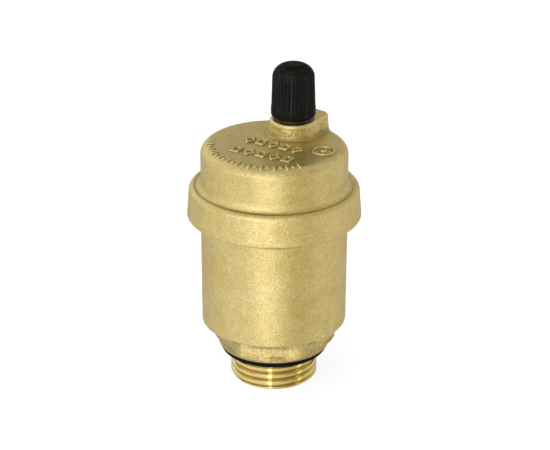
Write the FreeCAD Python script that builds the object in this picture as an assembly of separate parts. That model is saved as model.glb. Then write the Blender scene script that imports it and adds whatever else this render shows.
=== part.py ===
import FreeCAD, Part
import os
import math
from FreeCAD import Vector, Placement, Rotation

# Automatic float-type air vent, brass, G 1/2 bottom connection.
# Millimetres. +Z is up, the origin is the centre of the thread's end face.
# The valve line (cap, nozzle, stem, lever) lies in one vertical plane through
# the axis: "along" is the distance from the axis in that plane, "across" is
# the distance square to it.
# Suffixes: _R radius, _D diameter, _Z height, _Z0 and _Z1 lower and upper height.

GAP = 0.01                 # between pieces that touch

# connection
THREAD_R = 10.478          # G 1/2 major radius
THREAD_ROOT_R = 9.316      # G 1/2 minor radius
THREAD_PITCH = 1.814       # 14 threads per inch
THREAD_FIRST_CREST = 0.82
THREAD_CRESTS = 4
THREAD_CREST_W = 0.354
THREAD_ROOT_W = 0.25
THREAD_END_CHAMFER = 0.75
SPIGOT_BORE_R = 7.0
BORE_LOW_CHAMFER = 0.4
BORE_TOP_CHAMFER = 0.8
SHANK_R = 10.3             # plain shank that carries the O-ring
SHANK_Z = 7.6
BASE_RING_R = 11.68        # O-ring centre-line radius
BASE_RING_D = 2.55
BASE_RING_Z = 8.41

# sealing collar and hexagon
RECESS_R = 13.0
RECESS_TOP_Z = 9.70
COLLAR_R = 13.5
COLLAR_Z0 = 8.83
COLLAR_Z1 = 9.9
COLLAR_CHAMFER = 0.3
NECK_R = 12.6              # neck inside the hexagon
HEX_AF = 26.0              # across flats
HEX_CORNER_R = HEX_AF / math.sqrt(3.0)
HEX_Z0 = 9.0
HEX_Z1 = 15.0
HEX_TURN = -2.0            # degrees, hexagon turned about the axis
HEX_CHAMFER_Z0 = 9.2
HEX_CHAMFER_SLOPE = 0.9
HEX_CORE_R = 12.75         # left whole by the corner chamfer

# bowl and body
BODY_R = 17.51             # at the cover
BODY_LOW_R = 17.39         # at the foot of the wall (forging draft)
BODY_WALL = 2.0
BODY_IN_R = BODY_R - BODY_WALL
BOWL_EDGE_Z = 15.6         # wall ends, bowl rounding begins
BOWL_EDGE_A = 3.5          # rounding, across
BOWL_EDGE_B = 1.1          # rounding, down
FLOOR_Z = 16.4
FLOOR_FILLET = 1.5
BODY_STEP_Z = 41.5
BODY_RIM_Z = 46.3
COVER_THREAD_PITCH = 1.0
COVER_THREAD_Z0 = 42.7     # first crest
COVER_THREAD_N = 3
COVER_THREAD_DEPTH = 0.6

# cover
SKIRT_R = 20.73            # at the lower edge
SKIRT_UP_R = 20.25         # at the upper edge (forging draft)
SKIRT_BORE_R = BODY_R + 0.13
SKIRT_Z0 = 41.78
SKIRT_Z1 = 49.95
SKIRT_LOW_A = 3.0          # lower rounding, across
SKIRT_LOW_B = 0.91         # lower rounding, up
SKIRT_TOP_R = 1.25
LID_FOOT_A = 1.2           # hollow at the foot of the lid wall, across
LID_FOOT_B = 2.2           # and up
LID_FOOT_Z = SKIRT_Z1 - 0.08
LID_R = 17.42
LID_Z = 60.05
LID_EDGE_R = 2.45
LID_UNDER_Z = 57.4
CHAMBER_R = 15.1
CHAMBER_CHAMFER = 0.6
SHOULDER_Z = 47.9
COVER_BORE_R = BODY_R - 0.35   # between the shoulder and the thread
COVER_RING_R = 16.15
COVER_RING_D = 1.58

# vent boss on the cover
VALVE_ANGLE = 58.3         # degrees, from +X towards +Y
VALVE_S = 8.46             # valve axis, along
BOSS_HALF = 5.75           # half width and end radius
BOSS_BASE_Z = 57.7
BOSS_Z = 63.8
BOSS_END_R = 17.3
BOSS_FILLET = 0.7

# nozzle
NOZ_R = 3.87
NOZ_PITCH = 0.794
NOZ_DEPTH = 0.4
NOZ_ROOT_R = NOZ_R - NOZ_DEPTH
NOZ_LOW_CREST_Z = 60.75    # first crest of the thread in the boss
NOZ_LOW_CRESTS = 3
NOZ_LOW_Z0 = 60.1          # ends of that threaded length
NOZ_LOW_Z1 = 63.0
NOZ_CAP_Z0 = 65.2          # the thread for the cap follows
NOZ_CAP_CREST_Z = 65.9
NOZ_CAP_CRESTS = 9
NOZ_TOP_Z = 73.6
NOZ_FLANGE_R = 4.7
NOZ_FLANGE_CHAMFER = 0.3
NOZ_FLANGE_Z0 = 54.8
NOZ_FLANGE_Z1 = 56.6
NOZ_FLAT = 4.3             # axis to spanner flat
NOZ_GROOVE_R = 2.92        # O-ring groove
NOZ_GROOVE_Z0 = 58.6
NOZ_GROOVE_Z1 = 59.9
NOZ_RING_R = 3.435
NOZ_RING_D = 1.0
NOZ_HOLE_R = NOZ_R + 0.08
SEAT_Z = 54.4
ORIFICE_R = 1.0
CHAMBER_BORE_R = 2.1
CHAMBER_FLOOR_Z = 61.0

# cap and its two seals
CAP_Z0 = 64.7
CAP_BORE_R = 3.93
CAP_BORE_CHAMFER = 0.25
CAP_CEIL_Z = 74.6
CAP_TOP_Z = 77.26
CAP_TOP_R = 3.32           # rounding
CAP_R_TOP = 5.04
CAP_R_LOW = 5.26
CAP_BAND_R = 5.34
CAP_BAND_Z = 66.9
CAP_PIP_R = 0.55           # raised spot on top
CAP_PIP_H = 0.14
CAP_RIBS = 32
CAP_FLUTE_R = 0.4
CAP_FLUTE_OUT = 0.22       # flute axis outside the cap wall
CAP_FLUTE_TOP_Z = 76.2
SEAT_RING_R = 5.0
SEAT_RING_Z1 = 64.6
SEAT_RING_CHAMFER = 0.25
CAP_SEAL_R = 3.85
CAP_SEAL_CHAMFER = 0.25

# stem, pad, retainer and spring
STEM_R = 0.6
STEM_Z0 = 48.6
STEM_Z1 = 68.5
STEM_CHAMFER = 0.15
STEM_GROOVE_R = 0.4
LOW_GROOVE = (49.1, 49.7)  # lower and upper height
TOP_GROOVE = (67.8, 68.1)
STEM_COLLAR_R = 1.7
STEM_COLLAR_Z0 = 51.29
STEM_COLLAR_Z1 = 51.98
SLIDE_R = STEM_R + 0.02    # bore of what sits on the stem
CLIP_GAP = 0.02            # clip to groove
STEM_CLIP_SLOT = 0.6
PAD_R = 1.9
PAD_Z0 = STEM_COLLAR_Z1 + GAP
PAD_Z1 = PAD_Z0 + 1.0
RETAINER_R = 1.85
RETAINER_Z1 = TOP_GROOVE[0] - GAP
RETAINER_Z0 = RETAINER_Z1 - 0.8
SPRING_R = 1.5
SPRING_WIRE_R = 0.2
SPRING_TURNS = 6.0
SPRING_GAP = 0.005

# lever, bracket and pin
LEVER_SWING = 20.0         # degrees; the float end hangs by half of it
PIVOT_S = 12.5             # along
PIVOT_Z = 51.2
LEVER_L = 12.6
LEVER_STEM_L = 4.06        # pivot to stem slot
LEVER_T = 0.8
LEVER_HALF_W = 4.05
LEVER_TIP_HALF_W = 1.6
LEVER_BARREL_R = 1.35
LEVER_PIVOT_HOLE_R = 0.8
LEVER_EYE_R = 1.5
LEVER_EYE_HOLE_R = 0.95
STEM_SLOT_R = 0.85
STEM_SLOT_L = 0.7          # between the slot's end centres
PLATE_R = 5.6
PLATE_END = 14.0           # along
EAR_IN = 4.15              # ear faces, across
EAR_OUT = 4.95
EAR_R = 1.6
EAR_HALF_L = 1.3
BRACKET_END_R = 14.35
PIN_R = 0.75
PIN_START = -5.0           # under the head, across
PIN_L = 10.6
PIN_HEAD_R = 1.2
PIN_HEAD_T = 0.65
PIN_GROOVE_R = 0.5
PIN_GROOVE_START = 5.04
PIN_GROOVE_W = 0.36

# float
FLOAT_R = 14.2
FLOAT_WALL = 0.9
FLOAT_IN_R = FLOAT_R - FLOAT_WALL
FLOAT_CORNER_R = 3.4       # outside
FLOAT_Z0 = 19.2
FLOAT_Z1 = 43.7
FLOAT_LID_T = 0.9
FLOAT_LID_CHAMFER = 0.3
FLOAT_LID_Z0 = FLOAT_Z1 + GAP
FLOAT_RIB_W = 0.97         # locating ring under the lid
FLOAT_RIB_H = 0.8
FLOAT_RIB_R = FLOAT_IN_R - 0.03
HOOK_WIRE_R = 0.6
HOOK_T = 2.5               # leg from the axis, across
HOOK_BEND_R = 0.8
HOOK_BOSS_R = 1.6
HOOK_BOSS_H = 1.2          # above the float lid
HOOK_HOLE_FLOOR = 0.3

VALVE_RAD = math.radians(VALVE_ANGLE)
ALONG = Vector(math.cos(VALVE_RAD), math.sin(VALVE_RAD), 0)
ACROSS = Vector(-math.sin(VALVE_RAD), math.cos(VALVE_RAD), 0)
ORIGIN = Vector(0, 0, 0)
LOCAL_Y = Vector(0, 1, 0)
UP = Vector(0, 0, 1)


# ------------------------------------------------------------------- helpers
def spot(along, across, z):
    """Point from valve-plane coordinates."""
    return ALONG * along + ACROSS * across + UP * z


VALVE_AXIS = spot(VALVE_S, 0, 0)


def corner(r, z, centre_r, centre_z, across, up):
    """Outline entry that rounds to (r, z) about a centre.

    across and up are the signed radii of the quarter round."""
    diagonal = math.sqrt(0.5)
    return r, z, centre_r + across * diagonal, centre_z + up * diagonal


def turned(outline, axis=ORIGIN):
    """Solid of revolution about a vertical axis.

    An outline entry is (r, z), or (r, z, mid_r, mid_z) for an arc to (r, z)."""
    edges = []
    start = Vector(outline[0][0], 0, outline[0][1])
    for entry in outline[1:] + [outline[0]]:
        end = Vector(entry[0], 0, entry[1])
        if len(entry) == 4:
            edges.append(Part.Arc(start, Vector(entry[2], 0, entry[3]), end).toShape())
        else:
            edges.append(Part.makeLine(start, end))
        start = end
    solid = outward(Part.Face(Part.Wire(edges)).revolve(ORIGIN, UP, 360))
    solid.translate(axis)
    return solid


def outward(solid):
    """The solid with its faces pointing outwards."""
    if solid.Volume < 0:
        solid.reverse()
    return solid


def zigzag(crest_r, root_r, first, pitch, count, crest_w, root_w):
    """Outline of a ring-grooved thread, from below upwards."""
    outline = []
    half = 0.5 * (pitch - root_w)
    for i in range(count):
        z = first + i * pitch
        outline += [(root_r, z - half), (crest_r, z - 0.5 * crest_w),
                    (crest_r, z + 0.5 * crest_w), (root_r, z + half)]
    return outline


def cover_thread(crest_r, root_r):
    return zigzag(crest_r, root_r, COVER_THREAD_Z0, COVER_THREAD_PITCH, COVER_THREAD_N,
                  crest_w=0.2, root_w=0.12)


def nozzle_thread(crest_r, root_r, first, count):
    return zigzag(crest_r, root_r, first, NOZ_PITCH, count, crest_w=0.15, root_w=0.12)


def one(shape):
    """The single cleaned solid of a boolean result."""
    solids = shape.removeSplitter().Solids
    if len(solids) != 1:
        raise RuntimeError("expected one solid, found %d" % len(solids))
    return solids[0]


def torus(ring_r, wire_d, z, axis=ORIGIN):
    return Part.makeTorus(ring_r, 0.5 * wire_d, axis + UP * z, UP)


def cyl(radius, height, base, axis=UP):
    return Part.makeCylinder(radius, height, base, axis)


def prism(points, height):
    """Upright prism on a flat polygon."""
    return Part.Face(Part.makePolygon(points + [points[0]])).extrude(UP * height)


def block(along0, along1, across0, across1, z0, z1):
    """Box in valve-plane coordinates."""
    return prism([spot(along0, across0, z0), spot(along1, across0, z0),
                  spot(along1, across1, z0), spot(along0, across1, z0)], z1 - z0)


def c_clip(r_in, r_out, z0, z1, slot_w):
    """Flat ring with a slot on its +X side."""
    ring = turned([(r_in, z0), (r_out, z0), (r_out, z1), (r_in, z1)])
    slot = Part.makeBox(r_out + 1, slot_w, z1 - z0 + 2, Vector(0, -0.5 * slot_w, z0 - 1))
    return one(ring.cut(slot))


# ---------------------------------------------------------------------- body
def hexagon():
    """Hexagon with its lower corners turned down into the collar."""
    angles = [math.radians(HEX_TURN - 60.0 + 60.0 * i) for i in range(6)]
    bar = prism([Vector(HEX_CORNER_R * math.cos(a), HEX_CORNER_R * math.sin(a), HEX_Z0)
                 for a in angles], HEX_Z1 - HEX_Z0)
    bevel_in_r = 12.7
    bevel_out_r = HEX_CORNER_R + 0.2
    rise = (bevel_out_r - COLLAR_R) * HEX_CHAMFER_SLOPE
    bevel = turned([(bevel_in_r, HEX_CHAMFER_Z0 - 0.85), (COLLAR_R, HEX_CHAMFER_Z0),
                    (bevel_out_r, HEX_CHAMFER_Z0 + rise),
                    (bevel_out_r, HEX_Z1 + 1.0), (bevel_in_r, HEX_Z1 + 1.0)])
    core = cyl(HEX_CORE_R, 10.0, Vector(0, 0, HEX_Z0 + 1.3))
    recess = cyl(RECESS_R + 0.1, RECESS_TOP_Z + 0.04 - HEX_Z0, Vector(0, 0, HEX_Z0))
    return bar.common(bevel.fuse(core)).cut(recess)


def body():
    # the end chamfer takes the place of the first flank's foot
    pipe_thread = zigzag(THREAD_R, THREAD_ROOT_R, THREAD_FIRST_CREST, THREAD_PITCH,
                         THREAD_CRESTS, THREAD_CREST_W, THREAD_ROOT_W)[1:]
    bowl_r = BODY_LOW_R - BOWL_EDGE_A
    bowl_z = BOWL_EDGE_Z - BOWL_EDGE_B
    fillet_r = BODY_IN_R - FLOOR_FILLET
    fillet_z = FLOOR_Z + FLOOR_FILLET
    outline = [(SPIGOT_BORE_R + BORE_LOW_CHAMFER, 0), (THREAD_R - THREAD_END_CHAMFER, 0)]
    outline += pipe_thread
    outline += [
        (SHANK_R, SHANK_Z), (SHANK_R, RECESS_TOP_Z), (RECESS_R, RECESS_TOP_Z),
        (RECESS_R, COLLAR_Z0), (COLLAR_R - COLLAR_CHAMFER, COLLAR_Z0),
        (COLLAR_R, COLLAR_Z0 + COLLAR_CHAMFER), (COLLAR_R, COLLAR_Z1),
        (NECK_R + 0.2, COLLAR_Z1 + 0.8), (NECK_R, COLLAR_Z1 + 0.8), (NECK_R, bowl_z),
        (bowl_r, bowl_z),
        corner(BODY_LOW_R, BOWL_EDGE_Z, bowl_r, BOWL_EDGE_Z, BOWL_EDGE_A, -BOWL_EDGE_B),
        (BODY_R, BODY_STEP_Z), (BODY_R - 0.7, BODY_STEP_Z + 0.35)]
    outline += cover_thread(BODY_R - 0.02, BODY_R - COVER_THREAD_DEPTH)
    outline += [
        (BODY_R - 0.75, BODY_RIM_Z - 0.35), (BODY_R - 1.0, BODY_RIM_Z),
        (BODY_IN_R, BODY_RIM_Z), (BODY_IN_R, fillet_z),
        corner(fillet_r, FLOOR_Z, fillet_r, fillet_z, FLOOR_FILLET, -FLOOR_FILLET),
        (SPIGOT_BORE_R + BORE_TOP_CHAMFER, FLOOR_Z),
        (SPIGOT_BORE_R, FLOOR_Z - BORE_TOP_CHAMFER), (SPIGOT_BORE_R, BORE_LOW_CHAMFER)]
    return one(turned(outline).fuse(hexagon()))


# --------------------------------------------------------------------- cover
def cover_shell():
    low_r = SKIRT_R - SKIRT_LOW_A
    low_z = SKIRT_Z0 + SKIRT_LOW_B
    top_r = SKIRT_UP_R - SKIRT_TOP_R
    top_z = SKIRT_Z1 - SKIRT_TOP_R
    foot_r = LID_R + LID_FOOT_A
    foot_z = LID_FOOT_Z + LID_FOOT_B
    edge_r = LID_R - LID_EDGE_R
    edge_z = LID_Z - LID_EDGE_R
    outline = [
        (SKIRT_BORE_R, SKIRT_Z0), (low_r, SKIRT_Z0),
        corner(SKIRT_R, low_z, low_r, low_z, SKIRT_LOW_A, -SKIRT_LOW_B),
        (SKIRT_UP_R, top_z),
        corner(top_r, SKIRT_Z1, top_r, top_z, SKIRT_TOP_R, SKIRT_TOP_R),
        (foot_r, LID_FOOT_Z),
        corner(LID_R, foot_z, foot_r, foot_z, -LID_FOOT_A, -LID_FOOT_B),
        (LID_R, edge_z),
        corner(edge_r, LID_Z, edge_r, edge_z, LID_EDGE_R, LID_EDGE_R),
        (0, LID_Z), (0, LID_UNDER_Z), (CHAMBER_R - CHAMBER_CHAMFER, LID_UNDER_Z),
        (CHAMBER_R, LID_UNDER_Z - CHAMBER_CHAMFER), (CHAMBER_R, SHOULDER_Z),
        (COVER_BORE_R, SHOULDER_Z), (COVER_BORE_R, BODY_RIM_Z + 0.1),
        (COVER_BORE_R, COVER_THREAD_Z0 + 2.5 * COVER_THREAD_PITCH + 0.35)]
    outline += reversed(cover_thread(BODY_R + 0.10, BODY_R - COVER_THREAD_DEPTH + 0.12))
    outline += [(SKIRT_BORE_R, COVER_THREAD_Z0 - 0.75)]
    return turned(outline)


def vent_boss():
    """Round end about the nozzle, running outwards to the rim."""
    round_end = cyl(BOSS_HALF, BOSS_Z - BOSS_BASE_Z, spot(VALVE_S, 0, BOSS_BASE_Z))
    arm = block(VALVE_S, 20.0, -BOSS_HALF, BOSS_HALF, BOSS_BASE_Z, BOSS_Z)
    boss = round_end.fuse(arm).common(cyl(BOSS_END_R, 30, Vector(0, 0, LID_Z - 5)))
    boss = boss.removeSplitter()
    # the boss keeps sharp top edges if the kernel cannot fillet them
    try:
        top_edges = [e for e in boss.Edges if abs(e.BoundBox.ZMin - BOSS_Z) < 1e-4
                     and abs(e.BoundBox.ZMax - BOSS_Z) < 1e-4]
        boss = boss.makeFillet(BOSS_FILLET, top_edges)
    except Exception:
        pass
    return boss


def cover():
    solid = cover_shell().fuse(vent_boss()).removeSplitter()
    # threaded hole for the nozzle
    outline = [(0, LID_UNDER_Z - 1), (NOZ_HOLE_R, LID_UNDER_Z - 1), (NOZ_HOLE_R, NOZ_LOW_Z0)]
    outline += nozzle_thread(NOZ_HOLE_R, NOZ_ROOT_R + 0.1, NOZ_LOW_CREST_Z, NOZ_LOW_CRESTS)
    outline += [(NOZ_HOLE_R, NOZ_LOW_Z1), (NOZ_HOLE_R, BOSS_Z - 0.3),
                (NOZ_HOLE_R + 0.3, BOSS_Z), (NOZ_HOLE_R + 0.3, BOSS_Z + 1), (0, BOSS_Z + 1)]
    return one(solid.cut(turned(outline, VALVE_AXIS)))


# ------------------------------------------------------------ nozzle and cap
def nozzle():
    outline = [
        (ORIFICE_R, SEAT_Z), (ORIFICE_R + 0.45, SEAT_Z), (ORIFICE_R + 0.85, NOZ_FLANGE_Z0),
        (NOZ_FLANGE_R - NOZ_FLANGE_CHAMFER, NOZ_FLANGE_Z0),
        (NOZ_FLANGE_R, NOZ_FLANGE_Z0 + NOZ_FLANGE_CHAMFER),
        (NOZ_FLANGE_R, NOZ_FLANGE_Z1), (NOZ_R, NOZ_FLANGE_Z1),
        (NOZ_R, NOZ_GROOVE_Z0), (NOZ_GROOVE_R, NOZ_GROOVE_Z0),
        (NOZ_GROOVE_R, NOZ_GROOVE_Z1), (NOZ_R, NOZ_GROOVE_Z1), (NOZ_R, NOZ_LOW_Z0)]
    outline += nozzle_thread(NOZ_R, NOZ_ROOT_R, NOZ_LOW_CREST_Z, NOZ_LOW_CRESTS)
    outline += [(NOZ_R, NOZ_LOW_Z1), (NOZ_R, NOZ_CAP_Z0)]
    outline += nozzle_thread(NOZ_R, NOZ_ROOT_R, NOZ_CAP_CREST_Z, NOZ_CAP_CRESTS)
    outline += [(NOZ_R - 0.5, NOZ_TOP_Z), (CHAMBER_BORE_R, NOZ_TOP_Z),
                (CHAMBER_BORE_R, CHAMBER_FLOOR_Z), (ORIFICE_R, CHAMBER_FLOOR_Z - 0.4)]
    solid = turned(outline, VALVE_AXIS)
    # two spanner flats on the inner flange
    for across0, across1 in ((-6.0, -NOZ_FLAT), (NOZ_FLAT, 6.0)):
        solid = solid.cut(block(VALVE_S - 6, VALVE_S + 6, across0, across1,
                                NOZ_FLANGE_Z0 - 1, NOZ_FLANGE_Z1))
    return one(solid)


def cap_seat_ring():
    bore_r = NOZ_R + 0.1
    z0 = BOSS_Z + GAP
    edge_r = SEAT_RING_R - SEAT_RING_CHAMFER
    return turned([(bore_r, z0), (edge_r, z0), (SEAT_RING_R, z0 + SEAT_RING_CHAMFER),
                   (SEAT_RING_R, SEAT_RING_Z1 - SEAT_RING_CHAMFER),
                   (edge_r, SEAT_RING_Z1), (bore_r, SEAT_RING_Z1)], VALVE_AXIS)


def vent_cap():
    round_r = CAP_R_TOP - CAP_TOP_R
    round_z = CAP_TOP_Z - CAP_TOP_R
    pip_z = CAP_TOP_Z + CAP_PIP_H
    cap = turned([
        (CAP_BORE_R + CAP_BORE_CHAMFER, CAP_Z0), (CAP_BAND_R - 0.25, CAP_Z0),
        (CAP_BAND_R, CAP_Z0 + 0.3), (CAP_BAND_R, CAP_BAND_Z), (CAP_R_LOW, CAP_BAND_Z + 0.08),
        (CAP_R_TOP, round_z),
        corner(round_r, CAP_TOP_Z, round_r, round_z, CAP_TOP_R, CAP_TOP_R),
        (CAP_PIP_R, CAP_TOP_Z), (CAP_PIP_R - 0.15, pip_z), (0, pip_z), (0, CAP_CEIL_Z),
        (CAP_BORE_R, CAP_CEIL_Z), (CAP_BORE_R, CAP_Z0 + CAP_BORE_CHAMFER)])
    # flutes between the ribs lean in with the wall
    flutes = []
    for i in range(CAP_RIBS):
        angle = 2 * math.pi * i / CAP_RIBS
        radial = Vector(math.cos(angle), math.sin(angle), 0)
        base = radial * (CAP_R_LOW + CAP_FLUTE_OUT) + UP * (CAP_BAND_Z + 0.1)
        tip = radial * (CAP_R_TOP + CAP_FLUTE_OUT) + UP * CAP_FLUTE_TOP_Z
        flutes.append(cyl(CAP_FLUTE_R, (tip - base).Length, base, tip - base))
    cap = cap.cut(Part.makeCompound(flutes))
    cap.translate(VALVE_AXIS)
    return one(cap)


def cap_seal():
    z0 = NOZ_TOP_Z + GAP
    z1 = CAP_CEIL_Z - 0.02
    return turned([(0, z0), (CAP_SEAL_R - CAP_SEAL_CHAMFER, z0),
                   (CAP_SEAL_R, z0 + CAP_SEAL_CHAMFER), (CAP_SEAL_R, z1), (0, z1)], VALVE_AXIS)


# ---------------------------------------------------------------- valve stem
def valve_stem():
    outline = [(0, STEM_Z0), (STEM_R - STEM_CHAMFER, STEM_Z0), (STEM_R, STEM_Z0 + STEM_CHAMFER)]
    for r, (z0, z1) in ((STEM_GROOVE_R, LOW_GROOVE),
                        (STEM_COLLAR_R, (STEM_COLLAR_Z0, STEM_COLLAR_Z1)),
                        (STEM_GROOVE_R, TOP_GROOVE)):
        outline += [(STEM_R, z0), (r, z0), (r, z1), (STEM_R, z1)]
    outline += [(STEM_R, STEM_Z1 - STEM_CHAMFER), (STEM_R - STEM_CHAMFER, STEM_Z1), (0, STEM_Z1)]
    return turned(outline, VALVE_AXIS)


def valve_pad():
    return turned([(SLIDE_R, PAD_Z0), (PAD_R, PAD_Z0), (PAD_R, PAD_Z1 - 0.24),
                   (PAD_R - 0.25, PAD_Z1), (SLIDE_R, PAD_Z1)], VALVE_AXIS)


def stem_groove_clip(groove, r_out):
    clip = c_clip(STEM_GROOVE_R + CLIP_GAP, r_out, groove[0] + CLIP_GAP,
                  groove[1] - CLIP_GAP, STEM_CLIP_SLOT)
    clip.translate(VALVE_AXIS)
    return clip


def spring_retainer():
    return turned([(SLIDE_R, RETAINER_Z0), (RETAINER_R, RETAINER_Z0),
                   (RETAINER_R, RETAINER_Z1 - 0.19), (RETAINER_R - 0.15, RETAINER_Z1),
                   (SLIDE_R, RETAINER_Z1)], VALVE_AXIS)


def valve_spring():
    z0 = CHAMBER_FLOOR_Z + SPRING_WIRE_R + SPRING_GAP
    height = RETAINER_Z0 - SPRING_WIRE_R - SPRING_GAP - z0
    helix = Part.makeHelix(height / SPRING_TURNS, height, SPRING_R)
    section = Part.Wire(Part.makeCircle(SPRING_WIRE_R, Vector(SPRING_R, 0, 0),
                                        Vector(0, 1, 0.1)))
    spring = Part.Wire(helix).makePipeShell([section], True, True)
    spring.translate(VALVE_AXIS + UP * z0)
    return outward(spring)


# --------------------------------------------------------- lever and bracket
def lever_bracket():
    z0 = NOZ_FLANGE_Z1 + GAP
    z1 = LID_UNDER_Z - GAP
    plate = cyl(PLATE_R, z1 - z0, spot(VALVE_S, 0, z0)).fuse(
        block(VALVE_S, PLATE_END, -EAR_OUT, EAR_OUT, z0, z1))
    for across0, across1 in ((-EAR_OUT, -EAR_IN), (EAR_IN, EAR_OUT)):
        plate = plate.fuse(block(PIVOT_S - EAR_HALF_L, PLATE_END, across0, across1, PIVOT_Z, z1))
        plate = plate.fuse(cyl(EAR_R, EAR_OUT - EAR_IN, spot(PIVOT_S, across0, PIVOT_Z), ACROSS))
    plate = plate.cut(cyl(NOZ_R + 0.05, 6, spot(VALVE_S, 0, z0 - 3)))
    plate = plate.cut(cyl(PIN_R + 0.03, 16, spot(PIVOT_S, -8, PIVOT_Z), ACROSS))
    return one(plate.common(cyl(BRACKET_END_R, 20, Vector(0, 0, 45))))


def lever():
    """Made with the pivot at the origin and the float end along -X, then placed."""
    wide, narrow = LEVER_HALF_W, LEVER_TIP_HALF_W
    # x, y
    outline = [(0.2, -wide), (0.2, wide), (-2.6, wide), (-8.2, narrow),
               (-LEVER_L, narrow), (-LEVER_L, -narrow), (-8.2, -narrow), (-2.6, -wide)]
    blade = prism([Vector(x, y, -0.5 * LEVER_T) for x, y in outline], LEVER_T)
    barrel = cyl(LEVER_BARREL_R, 2 * wide, Vector(0, -wide, 0), LOCAL_Y)
    eye = cyl(LEVER_EYE_R, 2 * narrow, Vector(-LEVER_L, -narrow, 0), LOCAL_Y)
    solid = blade.fuse([barrel, eye])
    solid = solid.cut(cyl(LEVER_PIVOT_HOLE_R, 12, Vector(0, -6, 0), LOCAL_Y))
    solid = solid.cut(cyl(LEVER_EYE_HOLE_R, 6, Vector(-LEVER_L, -3, 0), LOCAL_Y))
    # slot for the stem
    half = 0.5 * STEM_SLOT_L
    for dx in (-half, half):
        solid = solid.cut(cyl(STEM_SLOT_R, 4, Vector(-LEVER_STEM_L + dx, 0, -2)))
    solid = solid.cut(Part.makeBox(STEM_SLOT_L, 2 * STEM_SLOT_R, 4,
                                   Vector(-LEVER_STEM_L - half, -STEM_SLOT_R, -2)))
    solid.rotate(ORIGIN, LOCAL_Y, -0.5 * LEVER_SWING)
    solid.rotate(ORIGIN, UP, VALVE_ANGLE)
    solid.translate(spot(PIVOT_S, 0, PIVOT_Z))
    return one(solid)


def lever_pin():
    def disc(radius, length, start):
        return cyl(radius, length, spot(PIVOT_S, start, PIVOT_Z), ACROSS)

    pin = disc(PIN_R, PIN_L, PIN_START).fuse(
        disc(PIN_HEAD_R, PIN_HEAD_T, PIN_START - PIN_HEAD_T))
    groove = disc(1.5, PIN_GROOVE_W, PIN_GROOVE_START).cut(
        disc(PIN_GROOVE_R, PIN_GROOVE_W, PIN_GROOVE_START))
    return one(pin.cut(groove))


def lever_pin_clip():
    clip = c_clip(PIN_GROOVE_R + CLIP_GAP, 1.3, 0, 0.3, 0.7)
    clip.Placement = Placement(spot(PIVOT_S, PIN_GROOVE_START + 0.03, PIVOT_Z),
                               Rotation(UP, ACROSS))
    return clip


# --------------------------------------------------------------------- float
def float_shell():
    in_corner = FLOAT_CORNER_R - FLOAT_WALL
    in_z = FLOAT_Z0 + FLOAT_WALL
    centre = (FLOAT_R - FLOAT_CORNER_R, FLOAT_Z0 + FLOAT_CORNER_R)
    return turned([
        (0, FLOAT_Z0), (centre[0], FLOAT_Z0),
        corner(FLOAT_R, centre[1], *centre, FLOAT_CORNER_R, -FLOAT_CORNER_R),
        (FLOAT_R, FLOAT_Z1), (FLOAT_IN_R, FLOAT_Z1), (FLOAT_IN_R, centre[1]),
        corner(centre[0], in_z, *centre, in_corner, -in_corner), (0, in_z)])


def float_lid():
    z0 = FLOAT_LID_Z0
    z1 = z0 + FLOAT_LID_T
    rib_in_r = FLOAT_RIB_R - FLOAT_RIB_W
    lid = turned([
        (0, z0), (rib_in_r, z0), (rib_in_r, z0 - FLOAT_RIB_H),
        (FLOAT_RIB_R, z0 - FLOAT_RIB_H), (FLOAT_RIB_R, z0), (FLOAT_R, z0),
        (FLOAT_R, z1 - FLOAT_LID_CHAMFER), (FLOAT_R - FLOAT_LID_CHAMFER, z1), (0, z1)])
    for across in (-HOOK_T, HOOK_T):
        lid = lid.fuse(cyl(HOOK_BOSS_R, HOOK_BOSS_H + FLOAT_LID_T, spot(0, across, z0)))
    for across in (-HOOK_T, HOOK_T):
        lid = lid.cut(cyl(HOOK_WIRE_R + 0.01, 2.4, spot(0, across, z0 + HOOK_HOLE_FLOOR)))
    return one(lid)


def float_hook():
    """Wire arch from the float lid through the lever's eye."""
    top_z = PIVOT_Z - LEVER_L * math.sin(math.radians(0.5 * LEVER_SWING))
    foot_z = FLOAT_LID_Z0 + HOOK_HOLE_FLOOR + 0.03
    bend_z = top_z - HOOK_BEND_R
    inset = HOOK_BEND_R * (1 - math.sqrt(0.5))
    foot = spot(0, -HOOK_T, foot_z)
    bend0, bend1 = spot(0, -HOOK_T, bend_z), spot(0, HOOK_T, bend_z)
    top0 = spot(0, -HOOK_T + HOOK_BEND_R, top_z)
    top1 = spot(0, HOOK_T - HOOK_BEND_R, top_z)
    path = Part.Wire([
        Part.makeLine(foot, bend0),
        Part.Arc(bend0, spot(0, -HOOK_T + inset, top_z - inset), top0).toShape(),
        Part.makeLine(top0, top1),
        Part.Arc(top1, spot(0, HOOK_T - inset, top_z - inset), bend1).toShape(),
        Part.makeLine(bend1, spot(0, HOOK_T, foot_z))])
    section = Part.Wire(Part.makeCircle(HOOK_WIRE_R, foot, UP))
    return outward(path.makePipeShell([section], True, True))


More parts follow.
